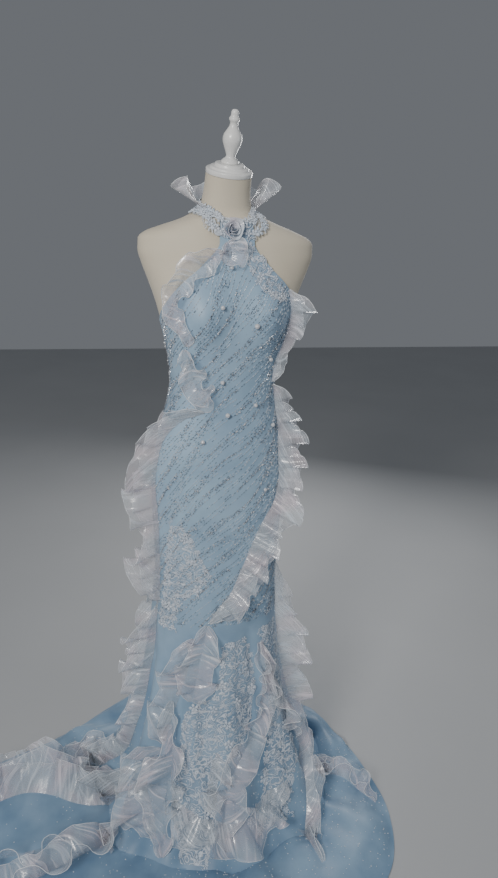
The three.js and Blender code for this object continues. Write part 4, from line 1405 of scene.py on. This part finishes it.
def makeBeads():
    bugles, darkBugles, gems, darkGems, smallPearls = [], [], [], [], []
    levels = np.arange(beadsTop, beadsEnd, -1.0)
    for k, offset in enumerate(np.arange(-200, 1150, 8.2)):
        offset = offset + random.uniform(-2.5, 2.5)
        angle = flowLine(offset, levels)
        line = figure(angle, levels)
        lengths = np.concatenate([[0], np.cumsum(np.linalg.norm(np.diff(line, axis=0), axis=1))])
        cluster = k % 5 == 0
        step = beadFacts["step"] / mm
        at = np.arange(random.uniform(0, step), lengths[-1], step)
        a, l = np.interp(at, lengths, angle), np.interp(at, lengths, levels)
        runs = np.sin(at / random.uniform(28, 45) + random.uniform(0, 6)) + 0.5 * np.sin(at / 13 + k)
        keep = onGown(a, l) & (runs > (-0.9 if cluster else -0.45))
        a, l = a[keep], l[keep]
        if len(a) < 2:
            continue
        up = figureNormal(a, l)
        slope = np.interp(l, flowLevels, flowSlopes)
        down = unit(np.cross(up, np.cross((0, 0, -1.0), up)))
        sideways = unit(np.cross(down, up))
        side = unit(down + sideways * slope[:, None])
        size = random.uniform(0.75, 1.1, len(a))
        dark = random.random(len(a)) < 0.45
        place, turn = outside(a, l, 0.95) * mm, eulerOf(side, np.cross(up, side), up)
        bugles.append((place[~dark], turn[~dark], size[~dark]))
        darkBugles.append((place[dark], turn[dark], size[dark]))
        if cluster:
            count = int(lengths[-1] / beadFacts["gemStep"])
            at = random.uniform(0, lengths[-1], count)
            wide = beadFacts["band"] * (0.75 + 0.45 * np.sin(at / 37 + k))
            off = random.uniform(-1, 1, count) * wide
            angles = np.interp(at, lengths, angle) + off * 0.3
            heights = np.interp(at, lengths, levels) - off * 0.6
            faint = np.sin(at / 61 + 2 * k) > -0.75
            good = onGown(angles, heights) & faint
            angles, heights = angles[good], heights[good]
            spin = random.uniform(0, 6.28, len(angles))
            size = random.uniform(0.45, 1.5, len(angles))
            dark = random.random(len(angles)) < 0.42
            gems.append(framesOn(angles[~dark], heights[~dark], 0.9, spin[~dark], size[~dark]))
            darkGems.append(framesOn(angles[dark], heights[dark], 0.9, spin[dark], size[dark]))
            few = random.random(len(angles)) < 0.03
            smallPearls.append(framesOn(angles[few], heights[few], 1.9, spin[few], 1.0))
    count = 2600
    angle, level = random.uniform(-110, 110, count), random.uniform(beadsEnd, beadsTop, count)
    good = onGown(angle, level)
    gems.append(framesOn(angle[good], level[good], 0.7, 0.3, random.uniform(0.3, 0.55, good.sum())))
    bugle = bugleMotif()
    setMotifs("bugle_beads", bugles, bugle, beadFacts["length"], bead, "pearl")
    setMotifs("bugle_beads_dark", darkBugles, bugle, beadFacts["length"], smoke, "pearl")
    across, gem = beadFacts["clusterRadius"] * 2, gemMotif("gem", 3)
    setMotifs("crystals", gems, gem, across, crystal, "pearl")
    setMotifs("crystals_dark", darkGems, gem, across, smoke, "pearl")
    ball = motifObject("ball", [ballParts(0.5, 5, 6)])
    setMotifs("small_pearls", smallPearls, ball, pearlFacts["small"] * 2, pearl, "pearl")


makeBeads()


# Glitter on the tail and the train, and crystals on the lace.
def makeGlitter():
    count = glitterFacts["count"]
    angle = random.uniform(-125, 95, count)
    level = random.uniform(-97, 330, count)
    weight = np.where(level < 0, 1.0, np.where(level < 140, 0.5, 0.25))
    keep = random.random(count) < weight
    frames = [freeFrames((angle[keep], level[keep]), 0.4, 0.6, 1.4)]
    for rows in laces.values():
        frames.append(freeFrames(placesOnLace(rows, glitterFacts["laceSpacing"]), 1.9, 0.5, 0.9))
    setMotifs("glitter", frames, gemMotif("flake", 3, 0.2), glitterFacts["radius"] * 2, glint, "pearl")


makeGlitter()

# The pearls, each a fine ball that rests on the cloth: its level, angle and radius.
pearls = [
    (1336, -3, 4), (1262, -12, 4.5), (1230, 14, 5.5), (1158, 38, 4.5), (1112, -10, 4.5),
    (1060, 22, 4.5), (1042, -4, 5), (1010, 44, 4.5), (985, -24, 4.5), (868, 30, 4),
]


def placeBall(name, node, radius, centre):
    points, faces = ballParts(radius, 17, 24)
    made = makeObject(name, (np.asarray(points) + centre) * mm, faces, pearl, sharp=180)
    settle(made, "pearl", node)


def makePearls():
    for i, (level, angle, radius) in enumerate(pearls, 1):
        placeBall(f"pearl_ball_{i}", f"pearl_{i:02d}", radius, outside(angle, level, radius + 0.4))
    placeBall("nape_ball", "nape_button", 6, outside(180, 1431, 7.1))


def makePlacket():
    a, l = np.meshgrid(np.linspace(177, 183, 9), np.linspace(1176, 880, 90))
    near, far = outside(a, l, 1.5), outside(a, l, 0.5)
    clothPiece(
        "placket_satin", near, far, satin, "satin", ["back_placket"],
    )


makePearls()
makePlacket()
print("beads and pearls made")

# Camera, light and floor.


def makeCamera():
    lens = bpy.data.cameras.new("camera")
    lens.sensor_fit = "VERTICAL"
    lens.sensor_height = 36
    lens.lens = cameraFacts["lens"]
    made = bpy.data.objects.new("camera", lens)
    pose = Matrix.Translation(Vector(cameraFacts["place"]))
    for degrees, axis in (
        (cameraFacts["yaw"], "Z"), (90 + cameraFacts["pitch"], "X"), (cameraFacts["roll"], "Z"),
    ):
        pose = pose @ Matrix.Rotation(math.radians(degrees), 4, axis)
    made.matrix_world = pose
    scene.collection.objects.link(made)
    scene.camera = made


def makeLight(name, place, target, size, power, colour=(1, 1, 1)):
    light = bpy.data.lights.new(name, "AREA")
    light.shape = "RECTANGLE"
    light.size, light.size_y = size
    light.energy = power
    light.color = colour
    made = bpy.data.objects.new(name, light)
    aim = (Vector(target) - Vector(place)).to_track_quat("-Z", "Y")
    made.matrix_world = Matrix.Translation(Vector(place)) @ aim.to_matrix().to_4x4()
    scene.collection.objects.link(made)


def makeStage():
    floor = Finish("floor")
    tone = floor.object.noise(1.5, 2).blend((0.4, 0.41, 0.42), (0.46, 0.47, 0.48))
    floor.feed("Base Color", tone).feed("Roughness", floor.object.noise(30, 2) * 0.1 + 0.55)
    size, below = stageFacts["size"], -stageFacts["below"]
    points = [(size * x, size * y, below) for x, y in ((-1, -1), (1, -1), (1, 1), (-1, 1))]
    makeObject("floor", points, [(0, 1, 2, 3)], floor.material)
    world = bpy.data.worlds.new("world")
    world.use_nodes = True
    light = world.node_tree.nodes["Background"].inputs
    light["Color"].default_value = (*stageFacts["world"], 1)
    light["Strength"].default_value = stageFacts["strength"]
    scene.world = world


makeCamera()
makeStage()
makeLight("key", (-1.9, -2.2, 2.4), (0, 0, 1.0), (0.8, 0.8), 68, (1, 0.98, 0.95))
makeLight("fill", (2.5, -1.6, 1.5), (0, 0, 0.8), (1.0, 1.6), 9, (0.92, 0.96, 1))
makeLight("back", (1.1, 1.9, 1.6), (0, 0, 1.0), (0.9, 0.9), 26)
makeLight("top", (0.2, -0.4, 3.4), (0, 0, 0), (1.2, 1.2), 5)
print("stage made")
